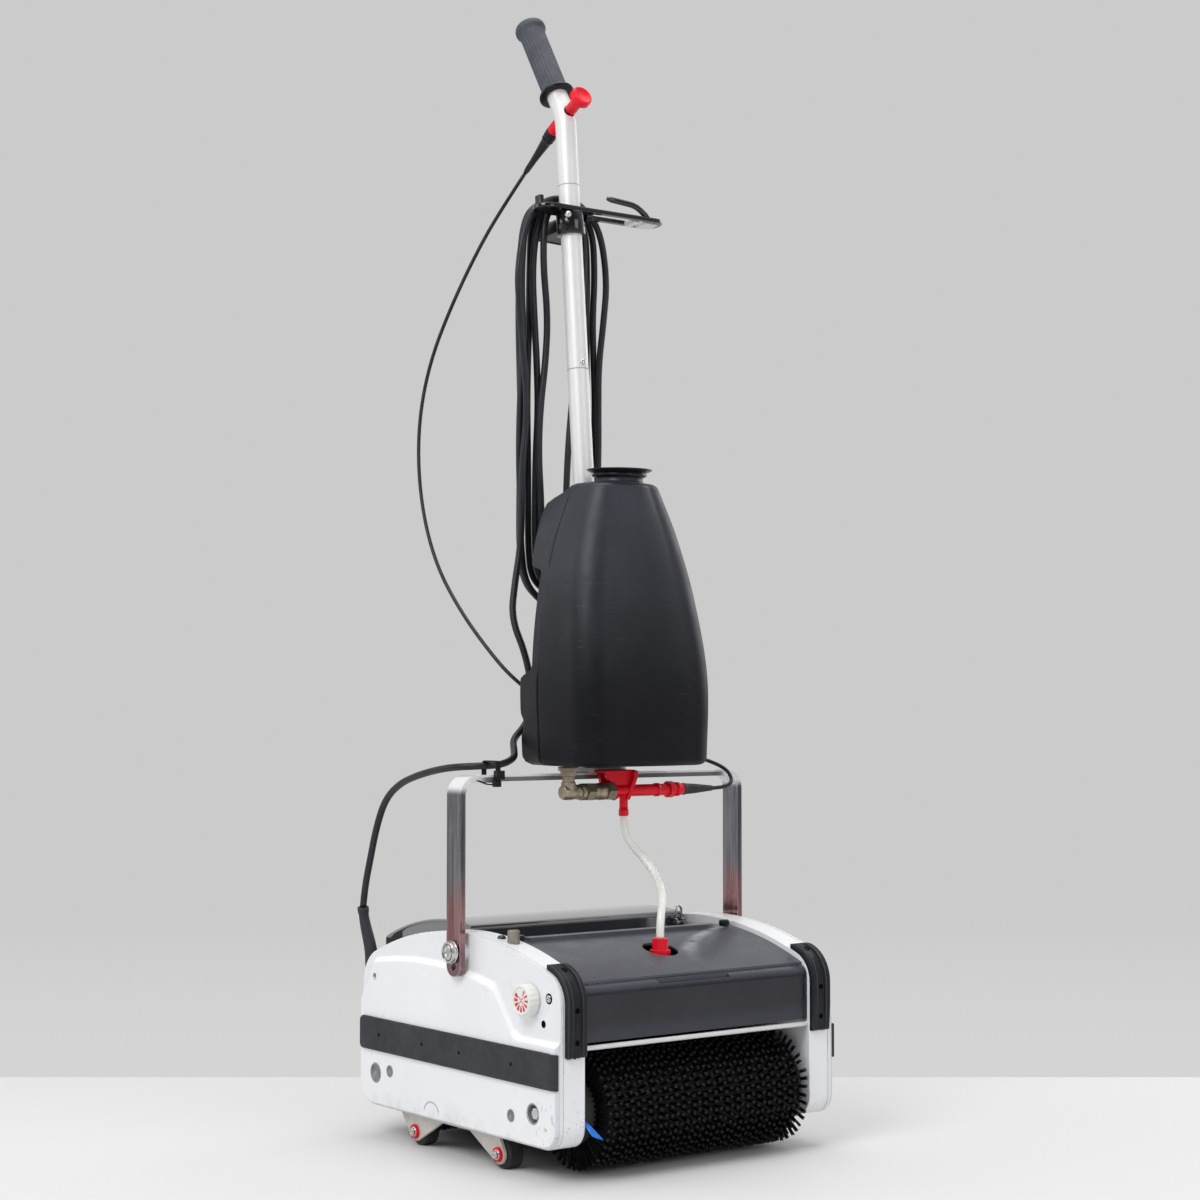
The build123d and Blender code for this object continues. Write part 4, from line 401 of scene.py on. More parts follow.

# Nylon strands: near black, with grey tips at the trimmed radius that are painted highlights
brush_y, brush_z = 158.0, 76.0
for name, y in (("front_bristle", -brush_y), ("rear_bristle", brush_y)):
    s = Shader(name)
    ragged = s.math("ADD", s.away(mm(0, y, brush_z), (0, 1, 1)), s.times(s.noise(500.0, 2.0), 0.002))
    black = s.tones((6, 6, 8), (12, 12, 14), 90.0, 3.0)
    tip_highlight = s.tint(black, s.span(ragged, 0.0704, 0.0728), (66, 66, 70), 0.75)
    s.set(Base_Color=tip_highlight, Specular_IOR_Level=0.2)
    s.gloss(0.45, 0.62, 300.0, 2.0)
    s.grain(2500.0, 0.00002)
mats["bristle"] = mats["front_bristle"]

# Small surfaces: the colours with their clouds, then roughness, grain and depth of the grain
small = {
    "blue_strand": (((24, 116, 222), (42, 138, 240), 120.0, 3.0), (0.3, 0.45, 200.0), 900.0, 0.00003),
    "red_print": (((196, 24, 40), (210, 62, 72), 300.0, 4.0, 0.7, 0.35), (0.4, 0.55, 200.0), 1500.0, 0.00002),
    # dark_hole: near black with almost no shine, painted shade in deep holes and round sunk screws;
    # pocket_shade: painted shade inside the side pockets
    "dark_hole": (((8, 8, 9), (15, 15, 16), 200.0, 3.0), (0.6, 0.8, 300.0), 900.0, 0.00005),
    "pocket_shade": (((118, 124, 126), (96, 101, 104), 140.0, 4.0, 0.7), (0.45, 0.65, 200.0), 900.0, 0.00005),
}
for name, (clouds, sheen, grain, depth) in small.items():
    s = Shader(name)
    s.set(Base_Color=s.tones(*clouds))
    s.gloss(*sheen, 2.0)
    s.grain(grain, depth)
    if name == "dark_hole":
        s.set(Specular_IOR_Level=0.05)

# Pivot bolts: bare metal outside, a white spacer inside
s = Shader("pivot_metal")
spacer = s.span(s.off(s.axes()[0]), 0.2171, 0.2169)
bare = s.tones((206, 204, 199), (180, 178, 172), 60.0, 4.0, 0.6)
s.set(Base_Color=s.mix(spacer, bare, (236, 237, 239)), Metallic=s.math("SUBTRACT", 1.0, spacer))
s.gloss(0.18, 0.30, 80.0)
s.grain(900.0, 0.00002)

# Every CAD node takes the material of its slot, apart from four
look_of = {p["node"]: p["material_slot"] for p in frame["record"]["subparts"]}
look_of.update(corner_guards="guard_rubber", recovery_lid="lid_gloss")
look_of.update(pivot_bolts="pivot_metal", splash_bar="alloy")
for name, node in nodes.items():
    node.data.materials.clear()
    node.data.materials.append(mats[look_of[name]])


def even_normals(obj):
    obj.modifiers.new("normals", "WEIGHTED_NORMAL").keep_sharp = True


def soften(obj, width, segments=2, angle=35):
    """Rounded edges, with their width in mm."""
    edge = obj.modifiers.new("edge", "BEVEL")
    edge.width = width * 0.001
    edge.segments = segments
    edge.limit_method = "ANGLE"
    edge.angle_limit = math.radians(angle)
    even_normals(obj)


# Edges of the CAD nodes are eased by a width in mm
eased = {
    0.2: "upper_tube middle_tube lower_tube",
    0.3: "splash_bar",
    0.4: "wheel_bushes front_drive_pulley rear_drive_pulley spray_manifold valve_plunger shaft_bearings",
    0.5: "wheel_axles cover_bolts dial_knob motor_deck pickup_drum drive_belts",
    0.6: "top_cover wheel_brackets hose_nipple trigger_socket tube_joints",
    0.7: "left_side_cover right_side_cover side_bumpers corner_guards front_panel pivot_bolts",
    0.8: "recovery_lid recovery_tank bail outlet_fittings valve_body",
    0.9: "left_casting right_casting",
    1.0: "cover_knobs drive_motor",
    1.2: "cable_hook mains_plug",
}
for width, names in eased.items():
    for name in names.split():
        weld = nodes[name].modifiers.new("weld", "WELD")
        weld.merge_threshold = 0.000004
        flat = nodes[name].modifiers.new("flat", "DECIMATE")
        flat.decimate_type = "DISSOLVE"
        flat.angle_limit = math.radians(0.2)
        soften(nodes[name], width, angle=32)


def piece(name, data, body, slot, look=None, smooth=True):
    """A mesh piece in the row frame, riding on a body, with its slot's material or another look."""
    points, faces = data
    mesh = bpy.data.meshes.new(name)
    mesh.from_pydata([tuple(p) for p in points], [], faces)
    mesh.validate()
    mesh.update()
    mesh.polygons.foreach_set("use_smooth", [smooth] * len(mesh.polygons))
    mesh.materials.append(mats[look or slot])
    obj = bpy.data.objects.new(name, mesh)
    scene.collection.objects.link(obj)
    if body:
        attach(obj, body)
    return obj


def wall(rows, sides):
    """Faces between rows that have the same number of points."""
    faces = []
    for i in range(rows - 1):
        for n in range(sides):
            m = (n + 1) % sides
            faces.append((i * sides + n, i * sides + m, (i + 1) * sides + m, (i + 1) * sides + n))
    return faces


def ends(rows, sides):
    """Faces that cap the first and the last row."""
    last = (rows - 1) * sides
    return [tuple(reversed(range(sides))), tuple(range(last, last + sides))]


def closing(rows, sides):
    """Faces that join the last row to the first."""
    last = (rows - 1) * sides
    return [(last + n, last + (n + 1) % sides, (n + 1) % sides, n) for n in range(sides)]


def prism(low, high):
    """Solid between two outlines with the same number of points."""
    count = len(low)
    return low + high, wall(2, count) + ends(2, count)


def block(low, high, place=mm):
    """Box between two corners, in mm."""
    xs, ys, zs = zip(low, high)
    points = [place(x, y, z) for z in zs for y in ys for x in xs]
    return points, [(0, 2, 3, 1), (4, 5, 7, 6), (0, 1, 5, 4), (2, 6, 7, 3), (0, 4, 6, 2), (1, 3, 7, 5)]


def joined(groups):
    """One list of points and faces from several."""
    points, faces = [], []
    for some, cells in groups:
        start = len(points)
        points.extend(some)
        faces.extend(tuple(start + i for i in cell) for cell in cells)
    return points, faces


def basis(way):
    """A direction and two across it."""
    way = Vector(way).normalized()
    side = way.cross(Vector((0, 0, 1)))
    if side.length < 0.05:
        side = Vector((1, 0, 0))
    side.normalize()
    return way, side, way.cross(side).normalized()


def round_row(at, side, up, radius, sides, wave=None):
    """Points of a circle; a wave changes the radius from point to point."""
    row = []
    for n in range(sides):
        a = 2 * math.pi * n / sides
        r = radius * (wave(n) if wave else 1.0)
        row.append(at + (side * math.cos(a) + up * math.sin(a)) * r)
    return row


def lathe_data(profile, origin, way, sides, wave=None, ring=False):
    """Turned form: profile rows are distance along the axis and radius, in mm. A ring has an open middle."""
    way, side, up = basis(way)
    points = []
    for along, radius in profile:
        ripple = (lambda n: wave(along, n)) if wave else None
        points += round_row(origin + way * along * 0.001, side, up, radius * 0.001, sides, ripple)
    rows = len(profile)
    return points, wall(rows, sides) + (closing(rows, sides) if ring else ends(rows, sides))


def lathe(name, profile, origin, way, body, slot, sides, wave=None, look=None):
    return piece(name, lathe_data(profile, origin, way, sides, wave), body, slot, look)


def turned(profile, places, sides, ring=False):
    """The same turned form at places on both sides of the machine, facing outward."""
    return [
        lathe_data(profile, mm(side * x, y, z), (side, 0, 0), sides, ring=ring)
        for side in (-1, 1) for x, y, z in places
    ]


def waves(n, sides, count):
    """A wave between 0 and 1, so many times round."""
    return 0.5 + 0.5 * math.cos(2 * math.pi * n / sides * count)


def heading(line, i):
    """Direction of a line of points at one of them."""
    return (Vector(line[min(i + 1, len(line) - 1)]) - Vector(line[max(i - 1, 0)])).normalized()


def length_of(points):
    return sum((b - a).length for a, b in zip(points, points[1:]))


def tube_data(points, radius, sides):
    """Round tube along points, with a steady frame; radius in metres, or a function of the share run."""
    verts, run, total = [], 0.0, length_of(points)
    way, side, up = basis(points[1] - points[0])
    for i, at in enumerate(points):
        run += (at - points[max(i - 1, 0)]).length
        new = heading(points, i)
        turn = way.rotation_difference(new)
        side, up, way = turn @ side, turn @ up, new
        verts += round_row(at, side, up, radius(run / total) if callable(radius) else radius, sides)
    return verts, wall(len(points), sides) + ends(len(points), sides)


def spline_points(name, route):
    """Points read from the NURBS spline that has the route's points as its control points."""
    curve = bpy.data.curves.new(name, "CURVE")
    curve.dimensions = "3D"
    curve.resolution_u = 8
    spline = curve.splines.new("NURBS")
    spline.points.add(len(route) - 1)
    for p, at in zip(spline.points, route):
        p.co = (*mm(*at), 1.0)
    spline.order_u = 3
    spline.use_endpoint_u = True
    obj = bpy.data.objects.new(name, curve)
    scene.collection.objects.link(obj)
    bpy.context.view_layer.update()
    line = bpy.data.meshes.new_from_object(obj.evaluated_get(bpy.context.evaluated_depsgraph_get()))
    points = [v.co.copy() for v in line.vertices]
    bpy.data.objects.remove(obj)
    bpy.data.curves.remove(curve)
    bpy.data.meshes.remove(line)
    return points


# Cords: routes in millimetres, as in the solids, but with the hank a little higher and its strands swaying
lead_route = [
    (-200, 237.5, 290), (-200, 233, 317), (-200.5, 219, 354), (-201.5, 203, 395), (-203, 179, 433),
    (-204, 142, 455), (-204, 98, 467), (-203, 54, 475), (-199, 22, 479), (-179.5, -2.5, 480.5),
    (-150.5, -10.5, 481.5), (-122, 1.5, 489), (-106, 25.5, 499), (-93, 47, 512), (-72, 48, 530),
    (-62.5, 43.6, 558), (-66, 46, 586),
]
control_route = [
    (0, 152.5, 1277), (-17, 190, 1227), (-37, 214, 1175), (-60, 240, 1105), (-80, 263, 1030),
    (-93, 271, 955), (-99, 266, 880), (-101, 247, 805), (-100, 214, 738), (-96, 165, 680),
    (-90, 113, 631), (-78, 73, 592), (-46, 54, 564), (0, 53, 545), (50, 52, 528), (98, 40, 511),
    (134, 18, 497), (158, -3, 488.5), (179, -22, 481), (192, -41, 470), (191, -53, 455),
    (176, -55, 447.5), (157, -52.5, 447),
]
hose_route = [
    (10, -52, 417), (10, -52, 398), (16, -60, 379), (25, -76, 361), (29, -95, 341), (18, -122, 320),
    (6, -134, 300), (0, -139, 283), (0, -139, 268),
]
hank_route = [
    (-66, 46, 586), (-70, 48.743, 618), (-80, 70, 668), (-71, 74.5, 715), (-62, 76, 757), (-60, 76, 788),
]

# Hank: half width and y of each loop, then the bows of its strands as width and height
hank_x, crest_z, layer, bottom_z = 8.0, 1217.0, 10.5, 748.0
first_low, last_foot, tail_y, tail_z = 818.0, 821.0, 70.0, 812.0
loops = [(68, 76), (62, 86), (57, 96), (43, 96), (39, 86), (35, 76)]
swings = [
    [(-7, 1128), (9, 950)], [(3, 1040), (-3, 900)], [(-2, 1080), (2, 930)],
    [(2, 1100), (-2, 960)], [(-5, 1130), (5, 960)], [(10, 1052), (-6, 900)],
]
back_swings = [
    [(5, 1130), (-6, 1000)], [(-5, 1080), (5, 930)], [(-3, 1110), (2, 940)],
    [(3, 1060), (-2, 930)], [(6, 1100), (-4, 960)], [(-4, 1060), (3, 930)],
]


def sway(bows, z):
    """Sideways wander of a hanging strand: a soft bow at each given height."""
    return sum(wide * math.exp(-((z - at) / 62.0) ** 2) for wide, at in bows)


def hank_turn(half, y, z, angles):
    """Points round one end of a loop; control points lie a little outside the curve."""
    reach = half * 1.035
    return [(hank_x + reach * math.cos(a), y, z + reach * math.sin(a)) for a in map(math.radians, angles)]


for n, (half, y) in enumerate(loops):
    shoulder = crest_z + (layer if n < 3 else 0.0) - half
    low = first_low if n == 0 else bottom_z
    for share in (0.04, 0.18, 0.32, 0.46, 0.60, 0.74, 0.90):
        z = low + (shoulder - low) * share
        hank_route.append((hank_x - half + sway(swings[n], z), y, z))
    hank_route += hank_turn(half, y, shoulder, (150, 115, 90, 65, 30))
    last = n + 1 == len(loops)
    next_half, next_y = (0.0, tail_y) if last else loops[n + 1]
    foot = last_foot if last else bottom_z
    for share in (0.08, 0.22, 0.36, 0.50, 0.64, 0.78, 0.94):
        ease = share * share * (3 - 2 * share)
        z = shoulder + (foot - shoulder) * share
        x = hank_x + half + (next_half - half) * ease + sway(back_swings[n], z) * (0.0 if last else 1.0)
        hank_route.append((x, y + (next_y - y) * ease, z))
    if last:
        hank_route.append((hank_x, tail_y, tail_z))
    else:
        hank_route += hank_turn(next_half, next_y, bottom_z, (-30, -65, -90, -115, -150))

lead_line = spline_points("lead_line", lead_route)
hank_line = spline_points("hank_line", hank_route)
control_line = spline_points("control_line", control_route)
hose_line = spline_points("hose_line", hose_route)

lead = piece("mains_lead_cord", tube_data(lead_line, 0.0045, 18), None, "cable_rubber")
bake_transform(lead)
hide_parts("mains_lead")
hank = piece("mains_hank_cord", tube_data(hank_line, 0.0045, 16), "handle", "cable_rubber")
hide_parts("mains_riser", "mains_hank")
control = piece("control_cable_cord", tube_data(control_line, 0.0025, 14), "handle", "cable_rubber")
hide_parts("control_cable")
hose = piece("feed_hose_tube", tube_data(hose_line, 0.005, 20), None, "clear_hose")
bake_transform(hose)
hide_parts("feed_hose")

# Boots of the cords: the gland at the casting, and both ends of the control cable
gland_route = [
    (-191, 219, 204), (-191, 226, 204), (-191, 229.5, 212), (-191.6, 230, 234), (-198, 239.5, 276),
    (-200, 237.5, 290),
]


def gland_radius(share):
    end_ring = 0.0009 if share > 0.90 else 0.0
    return 0.0090 - 0.0024 * min(1.0, share * 1.15) ** 1.6 + end_ring


gland_line = spline_points("gland_line", gland_route)
gland = piece("cord_gland_boot", tube_data(gland_line, gland_radius, 28), "base", "charcoal_rubber")
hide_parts("cord_gland")

x_way, up_way, left_out = (1, 0, 0), (0, 0, 1), (-1, 0, 0)
outlet_at = mm(0, -52, 447)
boot_top, boot_tip = mm(0, 89.43, 1319.97), mm(0, 152.5, 1277)
boot_way = boot_tip - boot_top
boot_len = boot_way.length * 1000
upper_boot = [
    (0, 7.6), (0.6, 8.8), (3.6, 9.0), (4.4, 7.9), (6.0, 7.9), (6.8, 8.8), (9.4, 8.8), (10.2, 7.7),
    (11.8, 7.7), (12.6, 8.5), (15.0, 8.4), (16.0, 7.4), (22.0, 6.8), (38.0, 5.4), (56.0, 4.3),
    (boot_len - 4, 3.9), (boot_len - 3, 3.4), (boot_len, 3.2),
]
top_boot = lathe("upper_cable_boot", upper_boot, boot_top, boot_way, "handle", "black_plastic", 32)
lower_boot = [
    (-2, 6.8), (-1.4, 7.6), (2.6, 7.8), (3.4, 7.1), (6, 7.0), (18, 6.4), (34, 4.9), (44, 3.9), (48, 3.7),
    (49, 3.2), (51, 3.0),
]
lathe("lower_cable_boot", lower_boot, mm(106, -52, 447), x_way, "handle", "charcoal_rubber", 32)
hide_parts("cable_fittings")


# Cable tie on the bail, with its head and tail, and the clip of the lead on the tank
def rounded(y0, z0, y1, z1, r, steps=5):
    """Corner points of a rounded box, clockwise."""
    out = []
    centres = ((y0 + r, z1 - r, 180), (y1 - r, z1 - r, 90), (y1 - r, z0 + r, 0), (y0 + r, z0 + r, -90))
    for cy, cz, start in centres:
        for n in range(steps + 1):
            a = math.radians(start - 90 * n / steps)
            out.append((cy + r * math.cos(a), cz + r * math.sin(a)))
    return out


def loop_strip(corners, width, thick, x):
    """Flat strap bent round a closed loop that lies in a plane of steady x."""
    points = []
    count = len(corners)
    for i, (y, z) in enumerate(corners):
        along = (Vector(corners[(i + 1) % count]) - Vector(corners[i - 1])).normalized()
        out = Vector((along.y, -along.x)) * thick
        for dx, dn in ((-width / 2, 0), (width / 2, 0), (width / 2, 1), (-width / 2, 1)):
            points.append(mm(x + dx, y + out.x * dn, z + out.y * dn))
    return points, wall(count, 4) + closing(count, 4)


def strap(line, width, thick):
    """Flat strip through points, its width along Y."""
    verts = []
    for i, at in enumerate(line):
        up = heading(line, i).cross(Vector((0, 1, 0))).normalized() * thick / 2
        for dy, k in ((-width / 2, -1), (width / 2, -1), (width / 2, 1), (-width / 2, 1)):
            verts.append(mm(*(Vector(at) + Vector((0, dy, 0)) + up * k)))
    return verts, wall(len(line), 4) + ends(len(line), 4)


tie_band = loop_strip(rounded(-32.8, 460.2, -0.2, 487.6, 6.0), 7.0, 1.8, -170)
soften(piece("cable_tie", tie_band, "handle", "black_plastic"), 0.5)
tie_tail = [
    (-174, -36.6, 460.6), (-182, -37.0, 458.6), (-190, -37.2, 459.2), (-197, -37.2, 461.6),
    (-204, -37.0, 464.0),
]
tie_parts = [
    block((-177.0, -41.0, 464.6), (-165.5, -32.0, 475.6)),
    block((-179.0, -40.0, 455.5), (-170.0, -32.0, 462.6)),
    block((-176.0, -37.4, 461.0), (-169.5, -32.6, 468.0)), strap(tie_tail, 5.6, 1.7),
]
soften(piece("cable_tie_head", joined(tie_parts), "handle", "black_plastic"), 3.2, 4)
clip_parts = [
    block((-71, 37.4, 576), (-61, 41.0, 588)),
    tube_data([mm(-65.2, 45.4, 578), mm(-65.6, 45.7, 582), mm(-66, 46, 586)], 0.0066, 24),
]
soften(piece("lead_clip", joined(clip_parts), "handle", "black_plastic"), 0.7)

# Water tank: rows of height, half width, front and corner radius; a smooth front half and a stepped back half
tank_rows = [
    (480, 102, -136, 34), (590, 106, -136, 38), (690, 97, -121, 38),
    (770, 78, -106, 34), (838, 52, -91, 26),
]
seam_y, tank_low, tank_high = -27.0, 480.0, 838.0
low_r, high_r = 9, 7


def smooth_between(rows, z):
    """Values at a height, on a smooth line through the given rows."""
    for i in range(len(rows) - 1):
        if z <= rows[i + 1][0] or i == len(rows) - 2:
            break
    a, b = rows[i], rows[i + 1]
    before, after = rows[max(i - 1, 0)], rows[min(i + 2, len(rows) - 1)]
    run = b[0] - a[0]
    t = (z - a[0]) / run
    values = []
    for k in (1, 2, 3):
        slope_a = (b[k] - before[k]) / (b[0] - before[0]) * run
        slope_b = (after[k] - a[k]) / (after[0] - a[0]) * run
        h = t * t * (3 - 2 * t)
        values.append(a[k] + (b[k] - a[k]) * h + slope_a * t * (1 - t) ** 2 - slope_b * t * t * (1 - t))
    return values


def front_plan(z, inset):
    """Plan of the front half at a height, from the right end of the seam round the front to the left."""
    half, front, corner = smooth_between(tank_rows, z)
    half, front, corner = half - inset, front + inset, max(corner * 1.12 - inset * 0.4, 6)
    bow = 5.0
    right = [(half - 1.1, seam_y + 0.5), (half - 0.3, seam_y - 0.1), (half, seam_y - 1.2)]
    side_end = front + bow + corner
    for n in range(1, 7):
        y = seam_y - 1.2 + (side_end - seam_y + 1.2) * n / 7
        right.append((half + 1.2 * math.sin(math.pi * n / 7), y))
    for n in range(13):
        a = math.pi / 2 * n / 12
        right.append((half - corner + corner * math.cos(a), side_end - corner * math.sin(a)))
    flat = half - corner
    plan = list(right)
    for n in range(1, 16):
        x = flat - 2 * flat * n / 16
        plan.append((x, front + bow * (x / flat) ** 2))
    return plan + [(-x, y) for x, y in reversed(right)]


quarter = [math.pi / 2 * n / 8 for n in range(9)]
heights = [(tank_low + low_r * (1 - math.cos(a)), low_r * (1 - math.sin(a))) for a in quarter]
straight = tank_high - high_r - tank_low - low_r
heights += [(tank_low + low_r + straight * n / 44, 0.0) for n in range(1, 44)]
heights += [(tank_high - high_r + high_r * math.sin(a), high_r * (1 - math.cos(a))) for a in quarter]
points = []
for z, inset in heights:
    points.extend(mm(x, y, z) for x, y in front_plan(z, inset))
wide = len(points) // len(heights)
faces = [tuple(reversed(cell)) for cell in ends(len(heights), wide)]
faces += [(b, a, d, c) for a, b, c, d in wall(len(heights), wide)]
tank = piece("water_tank_front", (points, faces), "handle", "tank_plastic")
even_normals(tank)
neck = [(-3, 33), (0, 32.4), (1.2, 30.6), (2.4, 30), (7.2, 30), (8, 29.2)]
lathe("filler_neck", neck, mm(0, -56, 838), up_way, "handle", "tank_plastic", 64)
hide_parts("tank_front")

# Back half: depth at each height, with a recess beside the spine that the tube runs in
back_line = [
    (480, 24), (484, 31), (490, 37), (496, 38), (512, 38), (518, 37), (525, 30), (537, 30), (545, 37),
    (551, 38), (584, 38), (590, 36.5), (594, 28), (600, 6), (606, 2), (722, 2), (728, 6), (732, 24),
    (735, 34), (742, 37), (770, 39.5), (798, 40), (808, 39), (816, 35), (822, 20), (829, -4), (836, -24),
]
recess_low, recess_high = 592.0, 733.0
spine_y, spine_x = 34.0, 26.0


def back_depth(z):
    for (z0, y0), (z1, y1) in zip(back_line, back_line[1:]):
        if z <= z1:
            return y0 + (y1 - y0) * (z - z0) / (z1 - z0)
    return back_line[-1][1]


levels = sorted({z for z, y in back_line} | {484 + 6 * n for n in range(59)})
points = []
for z in levels:
    half = smooth_between(tank_rows, z)[0] - 1.3
    if z < tank_low + low_r:
        half -= low_r * (1 - math.sin(math.acos(max(0.0, (tank_low + low_r - z) / low_r))))
    deep = max(back_depth(z), seam_y + 2.0)
    round_r = min(11.0, (deep - seam_y) * 0.45)
    spine = spine_y if recess_low < z < recess_high else deep
    right = []
    for n in range(6):
        y = seam_y + 0.3 + (deep - round_r - seam_y - 0.3) * n / 5
        right.append((half * (1 - 0.14 * (y - seam_y) / 69), y))
    edge = right[-1][0]
    for n in range(1, 7):
        a = math.pi / 2 * n / 6
        right.append((edge - round_r * (1 - math.cos(a)), deep - round_r + round_r * math.sin(a)))
    tip = max(edge - round_r, spine_x)
    right += [(tip + (spine_x - tip) * n / 3, deep) for n in range(1, 4)]
    step = spine - deep
    right += [(24.6, deep + step * 0.06), (24.0, deep + step * 0.92), (22.0, spine), (8.0, spine)]
    points.extend(mm(x, y, z) for x, y in right)
    points.extend(mm(-x, y, z) for x, y in reversed(right))
wide = len(points) // len(levels)
faces = wall(len(levels), wide) + ends(len(levels), wide)
back = piece("water_tank_back", (points, faces), "handle", "tank_plastic")
even_normals(back)
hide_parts("tank_back")

cap_profile = [
    (-12, 25.4), (0, 25.4), (0, 33), (0.6, 34.4), (3.4, 35.6), (3.8, 33.0), (4.4, 32.6), (5.2, 33.4),
    (6.6, 38.0), (8.4, 41.4), (9.2, 42.0), (9.8, 41.6), (9.6, 40.4), (8.2, 37.6), (7.4, 34.0),
    (7.2, 24.0), (7.0, 0.5),
]
cap = lathe("filler_cap_dish", cap_profile, mm(0, -56, 846.1), (0.012, -0.02, 1), "cap", "black_plastic", 72)
soften(piece("filler_cap_bar", block((-30, -60, 852.6), (30, -52, 856.6)), "cap", "black_plastic"), 1.4, 3)
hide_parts("filler_cap")

# Grip, thumb trigger and the rings of its socket
bend_at = mm(0, 61.18, 1335.0)
grip_lean, trigger_lean = math.radians(31), math.radians(28)
grip_way = Vector((0, math.sin(grip_lean), math.cos(grip_lean)))
trigger_way = Vector((0, -math.cos(trigger_lean), math.sin(trigger_lean)))
grip_sides, trigger_sides = 176, 72


def ribs(along, n):
    return 1.0 - 0.055 * waves(n, grip_sides, 22) ** 4 if 46 < along < 149 else 1.0


def six_flats(along, n):
    return 1.0 - 0.045 * waves(n, trigger_sides, 6) if along < 31.0 else 1.0


flange = [
    (36, 14.6), (36, 22.6), (36.8, 23.8), (38.2, 24.0), (39.6, 23.6), (40.4, 22.4), (41.2, 18.8),
    (42.6, 18.0), (43.0, 15.0),
]
lathe("grip_flange", flange, bend_at, grip_way, "handle", "black_plastic", 72)
grip_profile = [
    (41.6, 15.0), (41.6, 17.8), (43, 17.8), (45, 17.5), (47, 17.5), (148, 17.5), (149.6, 17.7), (151, 19.0),
    (152.6, 20.6), (154.6, 21.0), (158, 20.8), (161, 19.6), (163, 17.2), (164, 13.0), (164.2, 0.5),
]
grip = lathe("hand_grip", grip_profile, bend_at, grip_way, "handle", "grey_grip", grip_sides, ribs)
even_normals(grip)
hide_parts("grip")
trigger_profile = [
    (-20, 4.0), (12, 4.0), (12, 8.0), (30.5, 8.0), (31.5, 8.2), (33.0, 11.4), (33.8, 13.8), (34.8, 14.6),
    (41.6, 14.6), (43.4, 14.2), (44.6, 13.2), (44.9, 12.2), (44.2, 10.8), (43.0, 8.0), (42.5, 3.4),
    (42.4, 0.4),
]
trigger = lathe(
    "thumb_trigger", trigger_profile, bend_at, trigger_way, "trigger", "red_plastic", trigger_sides, six_flats
)
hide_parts("trigger_button")
socket_ring = [(0.0, 8.0), (0.4, 8.9), (2.6, 8.9), (3.0, 8.0), (3.0, 7.0), (0.0, 7.0)]
socket_rings = [
    lathe_data([(start + along, r) for along, r in socket_ring], bend_at, trigger_way, 40, ring=True)
    for start in (-30.0, -25.0, -20.0)
]
piece("trigger_socket_rings", joined(socket_rings), "handle", "red_plastic")

# Bristles: staggered tufts of fine strands, with splayed ends
random.seed(11)
tuft_rows, tuft_cols = 42, 37
brush_left, brush_run = -150.0, 313.0
root_r, tip_r, reach_x = 40.5, 72.4, 173.0


def tufted_brush(name, y, body, look, strands):
    verts, faces = [], []
    for row in range(tuft_rows):
        for col in range(tuft_cols):
            spin = 2 * math.pi * (row + 0.28 * (col % 2)) / tuft_rows
            x = brush_left + brush_run * (col + 0.5) / tuft_cols + random.uniform(-0.4, 0.4)
            lean_x = 0.0
            if col == 0:
                lean_x = random.uniform(-0.03, 0.02)
            elif col == tuft_cols - 1:
                lean_x = random.uniform(0.0, 0.20)
            lean_x += random.uniform(-0.015, 0.015)
            lean_s = random.uniform(-0.012, 0.012)
            for strand in range(strands):
                a, q = random.uniform(0, 2 * math.pi), math.sqrt(random.random())
                dx, ds = q * math.cos(a), q * math.sin(a)
                root = (x + 1.2 * dx, spin + 1.2 * ds / 41, root_r)
                reach = tip_r - random.uniform(0, 0.9) - 2.0 * abs(lean_x)
                x_tip = x + 2.1 * dx + 33.0 * lean_x + random.uniform(-0.4, 0.4)
                x_tip = max(-reach_x, min(reach_x, x_tip))
                tip = (x_tip, spin + (2.1 * ds + random.uniform(-0.3, 0.3)) / 72 + lean_s, reach)
                turn = random.uniform(0, 2 * math.pi)
                start = len(verts)
                for (px, pa, pr), thick in ((root, 0.42), (tip, 0.50)):
                    for k in range(3):
                        b = turn + 2 * math.pi * k / 3
                        ax = pa + thick * math.sin(b) / pr
                        across = thick * math.cos(b)
                        verts.append(mm(px + across, y - pr * math.sin(ax), brush_z + pr * math.cos(ax)))
                for k in range(3):
                    m = (k + 1) % 3
                    faces.append((start + k, start + m, start + 3 + m, start + 3 + k))
                faces.append((start + 3, start + 4, start + 5))
    return piece(name, (verts, faces), body, "bristle", look, False)


front_tufts = tufted_brush("front_brush_tufts", -brush_y, "front_brush", "front_bristle", 18)
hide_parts("front_brush_bristles")
rear_tufts = tufted_brush("rear_brush_tufts", brush_y, "rear_brush", "rear_bristle", 8)
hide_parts("rear_brush_bristles")


def root_teeth(along, n):
    return 1.0 - 0.04 * (n % 2) if abs(along) < 158 else 1.0


root_mass = [(-144, 41.5), (-143, 50.0), (-140, 57.0)]
root_mass += [(-138 + 12 * n, 60.8 if n % 2 else 59.2) for n in range(25)]
root_mass += [(160, 60.0), (164, 57.5), (166, 41.5)]
sleeve = [(-167, 38.2), (-167, 40.6), (-166, 41), (166, 41), (167, 40.6), (167, 38.2)]
for y, body, look in ((-brush_y, "front_brush", "front_bristle"), (brush_y, "rear_brush", "rear_bristle")):
    lathe(body + "_roots", root_mass, mm(0, y, brush_z), x_way, body, "bristle", 96, root_teeth, look)
    lathe(body + "_sleeve", sleeve, mm(0, y, brush_z), x_way, body, "core_plastic", 64)

